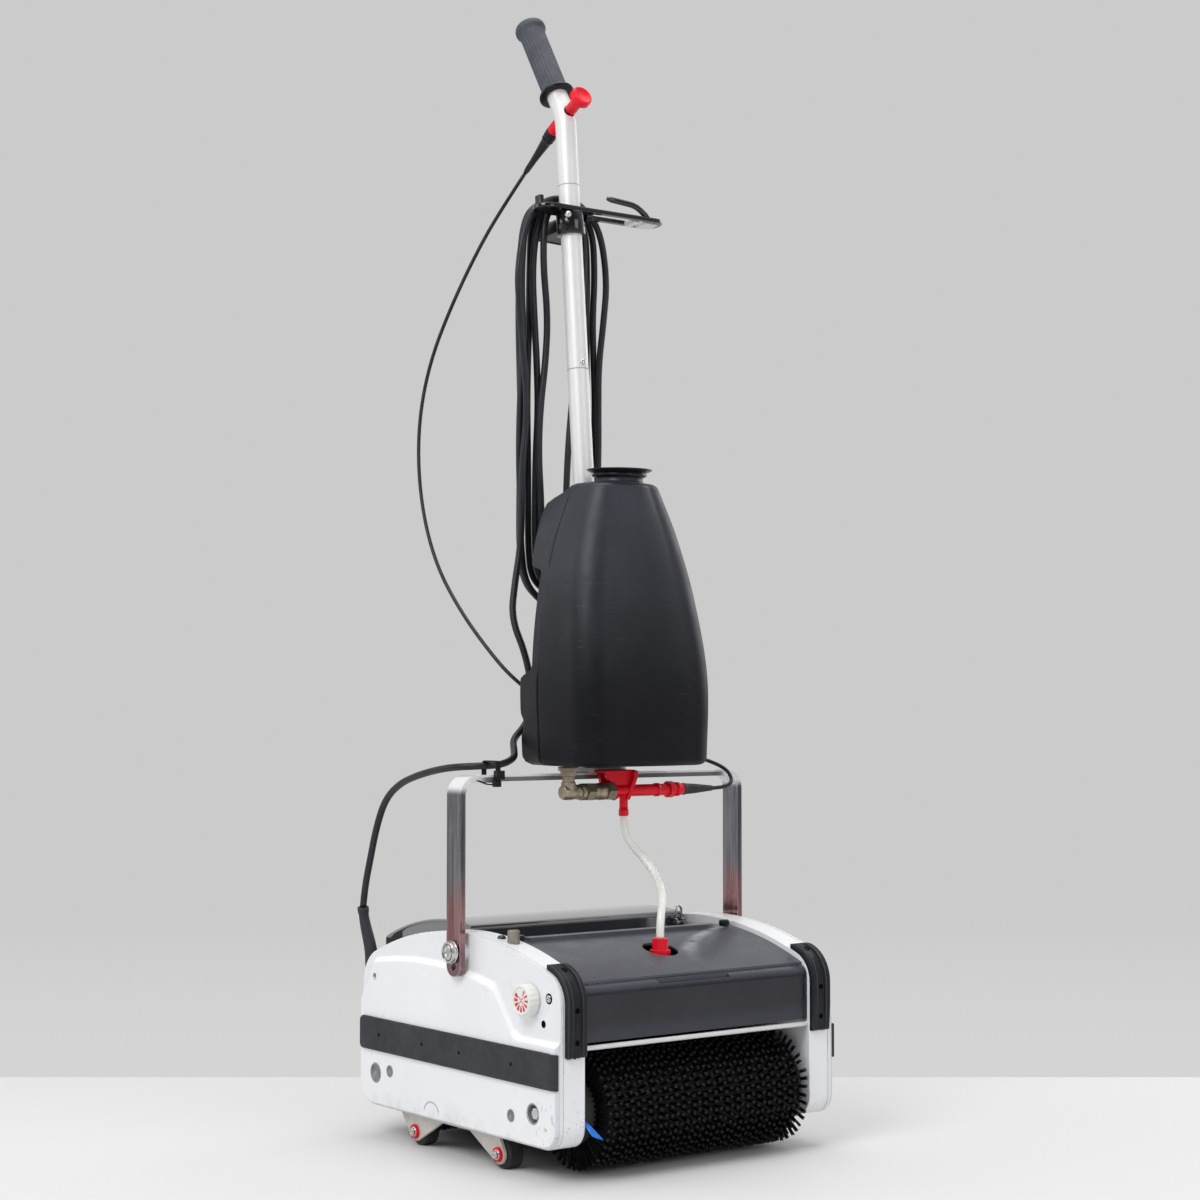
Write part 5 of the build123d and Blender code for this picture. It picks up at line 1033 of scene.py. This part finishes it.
# One worn blue tuft at the left end, and the plate behind the panel's notch
blue = []
for n in range(16):
    t = -1 + 2 * n / 15
    root = mm(-172 + random.uniform(-1.2, 1.2), -206 + random.uniform(-1, 1), 74 + random.uniform(-1.2, 1.2))
    tip = mm(-166 + 7.0 * t, -230.5 + random.uniform(-1.5, 1.0), 56.0 - 2.4 * t + random.uniform(-0.8, 0.8))
    blue.append(tube_data([root, (root + tip) / 2 + mm(0, 0, 1.0), tip], 0.0011, 5))
piece("wear_tuft", joined(blue), "front_brush", "bristle", "blue_strand")
notch_plate = block((-59.6, -210.0, 217.0), (49.6, -206.2, 229.4))
soften(piece("panel_notch_plate", notch_plate, "base", "black_satin"), 0.8)

# Dial: fluted rim, sunk face, printed marks
dial_y, dial_z, dial_sides = -160, 211, 144


def flutes(along, n):
    return 1.0 - 0.035 * waves(n, dial_sides, 18) if 2.0 < along < 14.4 else 1.0


def dial_mark(corners):
    """Printed mark on the dial's face, from corners given as radius and angle."""
    rows = []
    for x in (-224.75, -224.30):
        rows.append([mm(x, dial_y + r * math.cos(t), dial_z + r * math.sin(t)) for r, t in corners])
    return prism(*rows)


dial_profile = [
    (0, 16.0), (0.2, 18.6), (1.0, 19.4), (1.9, 19.5), (2.1, 19.5), (13.6, 18.9), (14.3, 18.6), (14.5, 18.0),
    (15.3, 17.2), (15.5, 16.4), (15.3, 15.6), (14.4, 15.2), (14.1, 14.4), (14.1, 0.5),
]
dial_at = mm(-210.3, dial_y, dial_z)
dial = lathe("dial_cap", dial_profile, dial_at, left_out, "dial", "white_plastic", dial_sides, flutes)
even_normals(dial)
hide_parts("dial_knob")
near, far = 6.0, 13.2
marks = []
for n in range(10):
    a = math.radians(120 + 30 * n)
    slim, broad = 0.060 + 0.006 * n, 0.095 + 0.012 * n
    tick = [(near, a - slim), (far, a - broad), (far + 0.5, a), (far, a + broad), (near, a + slim)]
    marks.append(dial_mark(tick))
for n in range(4):
    a = math.radians(45 + 90 * n)
    marks.append(dial_mark([(0.6, a - 0.5), (4.6, a - 0.13), (4.6, a + 0.13), (0.6, a + 0.5)]))
piece("dial_marks", joined(marks), "dial", "red_plastic", "red_print", False)


# Foot switch: a knurled stud, and a nut beside it
def knurl(along, n):
    return 1.0 - 0.030 * (n % 2) if 5.0 < along < 26.0 else 1.0


stud = [
    (0, 4.0), (0, 9.3), (0.8, 9.5), (3.4, 9.5), (4.0, 8.8), (4.2, 7.2), (4.9, 7.4), (5.1, 7.6), (25.9, 7.6),
    (26.2, 7.5), (27.4, 7.0), (28, 6.0), (27.9, 4.6), (27.5, 4.2), (27.4, 0.4),
]
stud_at = mm(-190, -95, 258)
switch = lathe("foot_switch_stud", stud, stud_at, up_way, "foot_switch", "steel", 72, knurl, "worn_stud")
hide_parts("foot_switch_button")
nut_dome = [(-3, 5.6), (0.6, 5.6), (1.6, 5.2), (3.0, 4.2), (3.8, 2.6), (4.1, 0.4)]
lathe("deck_nut", nut_dome, mm(-190, -70, 274), up_way, "base", "black_gloss", 40)

# Lid latch: a bent wire loop on its pin
latch_x, latch_y = 158, 20.5
latch_line = [mm(153.6, latch_y, 266), mm(153.4, latch_y, 272), mm(153.4, latch_y, 282)]
for n in range(1, 8):
    a = math.pi * n / 8
    latch_line.append(mm(latch_x - 4.6 * math.cos(a), latch_y, 282 + 6.2 * math.sin(a)))
latch_line += [mm(162.6, latch_y, 282), mm(162.6, latch_y, 272), mm(162.4, latch_y, 266)]
latch_pin = lathe_data([(-8, 1.6), (-7.6, 2.0), (7.6, 2.0), (8, 1.6)], mm(latch_x, latch_y, 266), x_way, 24)
loop = piece("latch_loop", joined([tube_data(latch_line, 0.0017, 14), latch_pin]), "latch", "steel")
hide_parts("lid_latch")

# Screws and caps on the side covers, the pivot and the wheels
screw_at = mm(-210, -196, 215.6)
screw_parts = [
    lathe_data([(0.2, 4.6), (1.0, 4.4), (1.5, 3.8), (1.4, 2.5), (0.5, 2.2)], screw_at, left_out, 40),
    lathe_data([(0.5, 1.3), (1.1, 1.1), (1.2, 0.3)], screw_at, left_out, 24),
]
piece("cover_screw", joined(screw_parts), "base", "steel")
# The near black well round the cover screw is painted shade
screw_well = [(0.0, 6.4), (0.4, 6.3), (0.6, 5.8), (0.5, 4.5), (0.3, 3.0), (0.3, 0.4)]
lathe("cover_screw_well", screw_well, screw_at, left_out, "base", "black_plastic", 40, look="dark_hole")
pivot_y, pivot_z = -16, 255
pivot_head = [
    (-1.2, 12.9), (0.2, 12.9), (0.8, 12.2), (0.7, 11.2), (0.1, 10.8), (0.1, 8.6), (0.6, 8.1), (0.9, 7.4),
    (0.8, 4.6), (0.2, 4.1), (-0.6, 3.4), (-0.8, 0.4),
]
pivot_rim = [(0, 13.2), (0.1, 14.1), (2.4, 14.1), (2.7, 13.2)]
pivot_caps = turned(pivot_head, [(233.2, pivot_y, pivot_z)], 56)
pivot_caps += turned(pivot_rim, [(226.2, pivot_y, pivot_z)], 56)
piece("pivot_bolt_caps", joined(pivot_caps), "base", "steel")
bracket_x, axle_end_x, axle_z, axle_ys = 206, 209.4, 18, (-83, 102)
at_bracket = [(bracket_x, y, axle_z) for y in axle_ys]
at_axle_end = [(axle_end_x, y, axle_z) for y in axle_ys]
axle_caps = turned([(-0.2, 6.6), (0.7, 6.6), (1.0, 6.2), (1.0, 5.2)], at_bracket, 36)
axle_head = [(-0.6, 4.6), (0.2, 4.6), (0.7, 4.1), (0.7, 2.4), (-0.4, 2.0), (-0.4, 0.3)]
piece("axle_caps", joined(axle_caps + turned(axle_head, at_axle_end, 36)), "base", "steel")
bush_lip = [(-0.3, 8.9), (0.4, 8.9), (1.0, 8.5), (1.1, 7.6), (0.5, 7.0), (0.1, 7.0)]
piece("bush_lips", joined(turned(bush_lip, at_bracket, 40)), "base", "red_plastic")

# Bumpers: sunk screws, and front ends that wrap the corner
field_x = 216
bumper_screw = [(0.2, 2.5), (1.0, 2.4), (1.2, 2.0), (0.9, 1.3), (-0.2, 1.1), (-0.2, 0.3)]
bumper_places = [(field_x, y, 133) for y in (164, 62, -22, -133)]
# Sunk screws drawn near black: painted shade in their holes
piece("bumper_screws", joined(turned(bumper_screw, bumper_places, 20)), "base", "black_plastic", "dark_hole")
wrap = [
    (216.2, -205), (217.8, -205), (220.3, -209.4), (219.8, -214.0), (217.2, -219), (212.8, -219.6),
    (214.6, -214.5), (216.2, -211),
]
tips = [prism(*[[mm(side * x, y, z) for x, y in wrap] for z in (112.2, 153.8)]) for side in (-1, 1)]
soften(piece("bumper_tips", joined(tips), "base", "charcoal_rubber"), 1.2, 3)

# Pockets of the side covers: cups inside and rims round their mouths, grey and dark inside as painted shade
liners = []
for y, z, r in ((178, 83, 11), (-172, 80, 11), (144, 89, 6.5), (-127, 72, 6.5)):
    cup = [(0.4, 0.4), (0.3, r - 1.6), (0.7, r - 0.7), (1.6, r - 0.25), (7.4, r - 0.25), (7.4, r - 0.05)]
    liners += turned(cup + [(0.1, r - 0.05), (0.1, 0.4)], [(208, y, z)], 44)
piece("pocket_liners", joined(liners), "base", "white_housing", "pocket_shade")
well = [(0.4, 0.4), (0.3, 3.4), (0.8, 4.1), (1.2, 4.3), (1.9, 4.3), (1.9, 4.45), (0.1, 4.45), (0.1, 0.4)]
wells = turned(well, [(208, 182, 206), (207.9, -185, 185)], 32)
piece("pocket_wells", joined(wells), "base", "black_plastic", "dark_hole")
open_lip = [(0.0, 12.7), (0.14, 12.4), (0.14, 11.1), (-5.0, 10.8), (-5.0, 10.95), (-0.4, 12.0)]
rims = turned(open_lip, [(field_x, -172, 80)], 44, ring=True)
closed_pockets = ((178, 83, 11.0, 12.8, 6.0), (144, 89, 6.5, 7.6, 4.0), (-127, 72, 6.5, 7.6, 4.0))
for y, z, hole, rim, deep in closed_pockets:
    lip = [(0.0, rim + 0.3), (0.14, rim), (0.14, hole + 0.1), (-1.2, hole - 0.15)]
    lip += [(-deep, hole - 0.5), (-deep - 0.6, hole - 1.6), (-deep - 0.6, 0.4)]
    rims += turned(lip, [(field_x, y, z)], 44)
piece("pocket_rims", joined(rims), "base", "white_housing", "pocket_grey")

# Corner guards: raised bands along both edges, thin beads beside them in paler rubber as painted highlight
# lines, sunk screws drawn near black as painted shade, rough-cut ends
guard_line = [(-224.5, 150.5), (-224.5, 180.0), (-224.5, 207.0)]
for n in range(1, 13):
    a = math.radians(180 - 69.2 * n / 12)
    guard_line.append((-181 + 43.5 * math.cos(a), 208.15 + 43.5 * math.sin(a)))
guard_line += [(-190.5, 250.9), (-184.0, 253.3)]


def guard_strips(spans, thick):
    """Strips along both guards, each between two distances from the middle and thinned at its ends."""
    strips = []
    count = len(guard_line)
    for side in (-1, 1):
        for pair in spans:
            x0, x1 = sorted(side * x for x in pair)
            inset = (x1 - x0) * 0.16
            verts = []
            for i, (y, z) in enumerate(guard_line):
                along = heading(guard_line, i)
                out = Vector((-along.y, along.x)) * thick * (0.2 if i in (0, count - 1) else 1.0)
                for x, k in ((x0, -0.3), (x1, -0.3), (x1 - inset, 1.0), (x0 + inset, 1.0)):
                    verts.append(mm(x, y + out.x * k, z + out.y * k))
            strips.append((verts, wall(count, 4) + ends(count, 4)))
    return joined(strips)


# The beads take the paler rubber: painted highlight lines along the ribs
beads = guard_strips(((181.4, 183.0), (196.5, 198.1), (202.4, 203.8)), 2.3)
piece("guard_beads", beads, "base", "charcoal_rubber")
bands = guard_strips(((176.2, 182.0), (197.5, 203.3)), 2.0)
soften(piece("guard_bands", bands, "base", "charcoal_rubber", "guard_rubber"), 0.4)
flash = []
for side in (-1, 1):
    for n in range(15):
        x = side * (177.0 + 25.5 * n / 14 + random.uniform(-0.6, 0.6))
        y, drop, wide = -224.0 + random.uniform(0, 4.0), random.uniform(0.6, 2.4), random.uniform(0.7, 1.5)
        way = (random.uniform(-0.2, 0.2), random.uniform(-0.2, 0.2), -1)
        flash.append(lathe_data([(0, wide), (drop * 0.6, wide * 0.7), (drop, 0.15)], mm(x, y, 149.4), way, 6))
piece("guard_flash", joined(flash), "base", "charcoal_rubber", "guard_rubber", False)
guard_x, front_way, crown_way = 189.75, (0, -1, 0), (0, -0.40, 0.92)
guard_screw = [(-1.0, 3.5), (2.6, 3.5), (2.75, 3.2), (2.3, 2.6), (1.4, 2.2), (1.2, 0.3)]
crown_screw = [(0.8, 3.9), (2.1, 3.8), (2.4, 3.4), (2.0, 2.9), (0.9, 2.8)]
guard_screws = []
for side in (-1, 1):
    for z in (203, 166):
        guard_screws.append(lathe_data(guard_screw, mm(side * guard_x, -222.0, z), front_way, 24))
    crown_at = mm(side * guard_x, -197.6, 246.4)
    guard_screws.append(lathe_data(guard_screw, crown_at, crown_way, 24))
    guard_screws.append(lathe_data(crown_screw, crown_at, crown_way, 32))
piece("guard_screws", joined(guard_screws), "base", "black_plastic", "dark_hole")

# Screws of hook and tube
hook_dome = [(-2, 4.6), (0.4, 4.6), (1.6, 4.2), (2.8, 3.0), (3.4, 1.2), (3.5, 0.3)]
tube_dome = [(-1, 4.4), (0.5, 4.4), (1.6, 3.8), (2.4, 2.4), (2.7, 0.3)]
metal_heads = [
    lathe_data(hook_dome, mm(-18.6, 30, 1197), (-1, -0.55, 0), 32),
    lathe_data(tube_dome, mm(-1.4, 19.7, 1003), (-0.10, -0.995, 0.08), 32),
]
piece("tube_and_hook_screws", joined(metal_heads), "handle", "steel")
hex_bolt = [(-3, 5.4), (0, 5.4), (4.6, 5.4), (5.6, 4.6), (5.8, 0.4)]
bolt_at, bolt_way = mm(19.5, 38, 1198), (1, -0.2, 0)
dark_heads = [
    lathe_data(hex_bolt, mm(-19.5, 38, 1181), (-1, -0.2, 0), 6),
    lathe_data(hex_bolt, bolt_at, bolt_way, 6),
    lathe_data([(-2, 3.4), (9, 3.4), (10, 2.8), (10.1, 0.3)], bolt_at, bolt_way, 20),
]
soften(piece("hook_bolts", joined(dark_heads), "handle", "black_plastic", None, False), 0.5)


# Outlet under the tank: toothed collars and the elbow
def fine_teeth(along, n):
    return 1.0 - 0.030 * (n % 2)


wide_collar = [
    (-40.4, 9.0), (-39.6, 10.4), (-34.6, 10.4), (-34, 9.6), (-31.6, 9.6), (-31, 10.8), (-22, 10.8),
    (-21.2, 9.6),
]
collars = [
    lathe_data([(-66, 8.2), (-65, 9.4), (-61, 9.4), (-60, 8.2)], outlet_at, x_way, 40),
    lathe_data([(-59, 8.2), (-58.4, 10.6), (-53.6, 10.6), (-53, 8.2)], outlet_at, x_way, 64, fine_teeth),
    lathe_data(wide_collar, outlet_at, x_way, 64, fine_teeth),
]
piece("outlet_collars", joined(collars), "handle", "nickel_brass")
elbow_at = mm(-77, -52, 447)
elbow_nut = [(0, 8.6), (0.6, 10.4), (6.4, 10.4), (6.8, 13.4), (11.4, 13.4), (12, 12.4)]
elbow_parts = [
    lathe_data(elbow_nut, mm(-77, -52, 467), up_way, 8),
    lathe_data([(-11, 6.0), (-10, 8.4), (-6, 9.6), (4, 9.6), (8, 9.0), (9, 7.6)], elbow_at, x_way, 28),
    lathe_data([(0, 9.2), (12, 9.2), (13, 8.2)], elbow_at, up_way, 28),
]
soften(piece("outlet_elbow", joined(elbow_parts), "handle", "nickel_brass"), 0.6)

# Cable hook, in the frame of the leaning tube: along X, across the arm, along the tube
lean = math.radians(4.77)
arm_up, arm_wide = Vector((0, math.sin(lean), math.cos(lean))), Vector((0, math.cos(lean), -math.sin(lean)))
tube_foot = mm(0, -11, 470)
saddle_mid = 718


def on_arm(x, w, h):
    """A point in the frame of the hook's arm."""
    return tube_foot + mm(x, 0, 0) + (arm_wide * w + arm_up * h) * 0.001


def pill(x0, x1, wide, steps=12, runs=10):
    """Outline of a slot shape along X: both round ends and the straight sides."""
    r = wide / 2
    turns = [math.radians(-90 + 180 * n / steps) for n in range(steps + 1)]
    right = [(x1 - r + r * math.cos(a), r * math.sin(a)) for a in turns]
    left = [(x0 + r - r * math.cos(a), -r * math.sin(a)) for a in turns]
    top = [(x1 - r + (x0 - x1 + 2 * r) * n / runs, r) for n in range(1, runs)]
    low = [(x0 + r + (x1 - x0 - 2 * r) * n / runs, -r) for n in range(1, runs)]
    return right + top + left + low


def hook_plate(outer, inner, h0, h1):
    """Flat plate between two outlines of equal count."""
    count = len(outer)
    points = [on_arm(x, w, h) for h in (h0, h1) for outline in (outer, inner) for x, w in outline]
    faces = []
    for i in range(count):
        j = (i + 1) % count
        for a, b in ((0, 2), (3, 1), (2, 3), (1, 0)):
            faces.append((a * count + i, a * count + j, b * count + j, b * count + i))
    return points, faces


def half_disc(radius, w0, w1):
    """Upper part of a disc behind the tube, as a solid from one depth to another."""
    turns = [math.radians(t) for t in range(-16, 197, 8)]
    outline = [(hank_x + radius * math.cos(a), saddle_mid + radius * math.sin(a)) for a in turns]
    return prism(*[[on_arm(x, w, h) for x, h in outline] for w in (w0, w1)])


slot_plates = [block((x0, -9.9, 733.6), (x1, 9.9, 739.6), on_arm) for x0, x1 in ((97, 109), (116, 139))]
soften(piece("hook_slot_plates", joined(slot_plates), "handle", "alloy"), 1.0)
arm_parts = [
    hook_plate(pill(-56, 150, 36), pill(30, 138, 20), 736.0, 742.0),
    block((-52.5, -6, 741), (-45.5, 6, 754.5), on_arm),
]
arm = piece("hook_arm", joined(arm_parts), "handle", "black_gloss")
soften(arm, 1.6, 3)
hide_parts("cable_hook")
collar = [(706, 14.3), (706, 18.2), (707, 19.0), (735, 19.0), (736, 18.4), (736, 14.3)]
lathe("hook_collar", collar, tube_foot, arm_up, "handle", "black_gloss", 64)
saddle = joined([half_disc(20.0, 13.0, 60.0), half_disc(24.0, 60.0, 64.0)])
soften(piece("hook_saddle", saddle, "handle", "black_plastic"), 1.0)
finger_line = [
    (122, 739), (116, 744), (108, 750), (101, 754), (94, 756), (84, 757), (70, 758), (58, 759),
    (54, 759.2), (52.6, 759.3),
]


def finger_radius(share):
    return 0.0040 if share < 0.95 else 0.0027


finger = tube_data([on_arm(x, -14, h) for x, h in finger_line], finger_radius, 20)
piece("hook_finger", finger, "handle", "black_gloss")
joint_ring = [(-0.7, 13.8), (-0.5, 14.16), (0.5, 14.16), (0.7, 13.8)]
joint_rings = [lathe_data([(at + d, r) for d, r in joint_ring], tube_foot, arm_up, 72) for at in (526, 773)]
piece("tube_joint_rings", joined(joint_rings), "handle", "alloy", "pocket_grey")


# Valve: bracket with a web and a rib, and the steps of its body
def slab(outline, y0, y1):
    """Plate in a plane of steady y, from corners given as x and z."""
    return prism(*[[mm(x, y, z) for x, z in outline] for y in (y0, y1)])


web_corners = [(-20.5, 472), (26.5, 472), (25.5, 463), (13, 436), (7, 436), (3, 444), (-20.5, 466)]
rib_corners = [(20.5, 472.5), (27.5, 472.5), (26.5, 462.5), (14, 435.5), (7.5, 435.5), (20, 463)]
web, rib = slab(web_corners, -54.5, -50.0), slab(rib_corners, -60.5, -46.5)
bracket = joined([web, rib, block((-21, -56, 470.2), (27, -27, 473.4))])
soften(piece("valve_bracket", bracket, "handle", "red_plastic"), 0.9)
hose_stub = [(-32, 4.8), (-31.4, 6.4), (-24, 6.4), (-23.4, 5.6), (-21, 5.6)]
red_steps = [
    lathe_data([(60, 7.4), (60.6, 8.6), (66, 8.6), (66.6, 7.4)], outlet_at, x_way, 40),
    lathe_data([(93, 7.6), (93.6, 9.0), (98.6, 9.0), (99.2, 7.6)], outlet_at, x_way, 40),
    lathe_data(hose_stub, mm(10, -52, 447), up_way, 36),
]
piece("valve_steps", joined(red_steps), "handle", "red_plastic")

# Floor: beyond a line behind the machine it takes the wall's grey, as the photograph's horizon does
wall_grey, room_grey = (203, 203, 203), (96, 97, 102)
s = Shader("floor")
beyond = s.math("ADD", s.times(s.axes()[0], math.sin(azimuth)), s.times(s.axes()[1], math.cos(azimuth)))
s.set(Base_Color=(225, 225, 225), Roughness=0.6, Specular_IOR_Level=0.2)
glow = s.add("ShaderNodeEmission")
s.link(s.mix(s.span(beyond, 0.486, 3.2), (212, 212, 212), wall_grey), glow.inputs[0])
horizon = s.either(s.span(beyond, 0.478, 0.490), s.bsdf.outputs[0], glow.outputs[0])
s.link(horizon, s.out.inputs[0])
floor_mesh = bpy.data.meshes.new("floor")
floor_mesh.from_pydata([(-30, -30, 0), (30, -30, 0), (30, 30, 0), (-30, 30, 0)], [], [(0, 1, 2, 3)])
floor_mesh.materials.append(s.mat)
floor = bpy.data.objects.new("floor", floor_mesh)
scene.collection.objects.link(floor)

# Room: grey where it is seen, an even fill on the surfaces, and a darker front side in mirrors
scene.world = bpy.data.worlds.new("world")
scene.world.use_nodes = True
w = Nodes(scene.world.node_tree)


def background(colour, strength):
    node = w.add("ShaderNodeBackground")
    w.feed(node.inputs, colour, strength)
    return node.outputs[0]


toward = w.add("ShaderNodeVectorMath", operation="DOT_PRODUCT")
toward.inputs[1].default_value = (math.sin(azimuth), math.cos(azimuth), 0.55)
w.link(w.add("ShaderNodeTexCoord").outputs["Generated"], toward.inputs[0])
mirrored = w.mix(w.span(toward.outputs["Value"], -0.45, 0.35), room_grey, wall_grey)
path = w.add("ShaderNodeLightPath").outputs
lighting = w.either(path["Is Glossy Ray"], background((1, 1, 1, 1), 0.46), background(mirrored, 1.0))
straight_on = w.most(path["Is Camera Ray"], path["Is Transmission Ray"])
shown = w.either(straight_on, lighting, background(wall_grey, 1.0))
w.link(shown, w.add("ShaderNodeOutputWorld").inputs[0])


def softbox(name, place, aim, size, watts):
    data = bpy.data.lights.new(name, "AREA")
    data.shape = "RECTANGLE"
    data.size, data.size_y = size
    data.energy = watts
    lamp = bpy.data.objects.new(name, data)
    scene.collection.objects.link(lamp)
    lamp.location = place
    lamp.rotation_euler = (Vector(aim) - Vector(place)).to_track_quat("-Z", "Y").to_euler()


softbox("key", (-2.5, -1.0, 2.7), (0, 0, 0.5), (1.6, 1.6), 54)
softbox("top", (0.3, 0.2, 3.4), (0, 0, 0.4), (2.4, 2.4), 42)
softbox("rim", (-2.7, 1.7, 1.5), (0, 0, 0.7), (1.2, 1.6), 12)
softbox("far rim", (2.5, 0.2, 1.5), (0, 0, 0.7), (1.0, 1.8), 14)
softbox("front", (0.6, -3.2, 1.6), (0, 0, 0.5), (1.6, 1.6), 18)
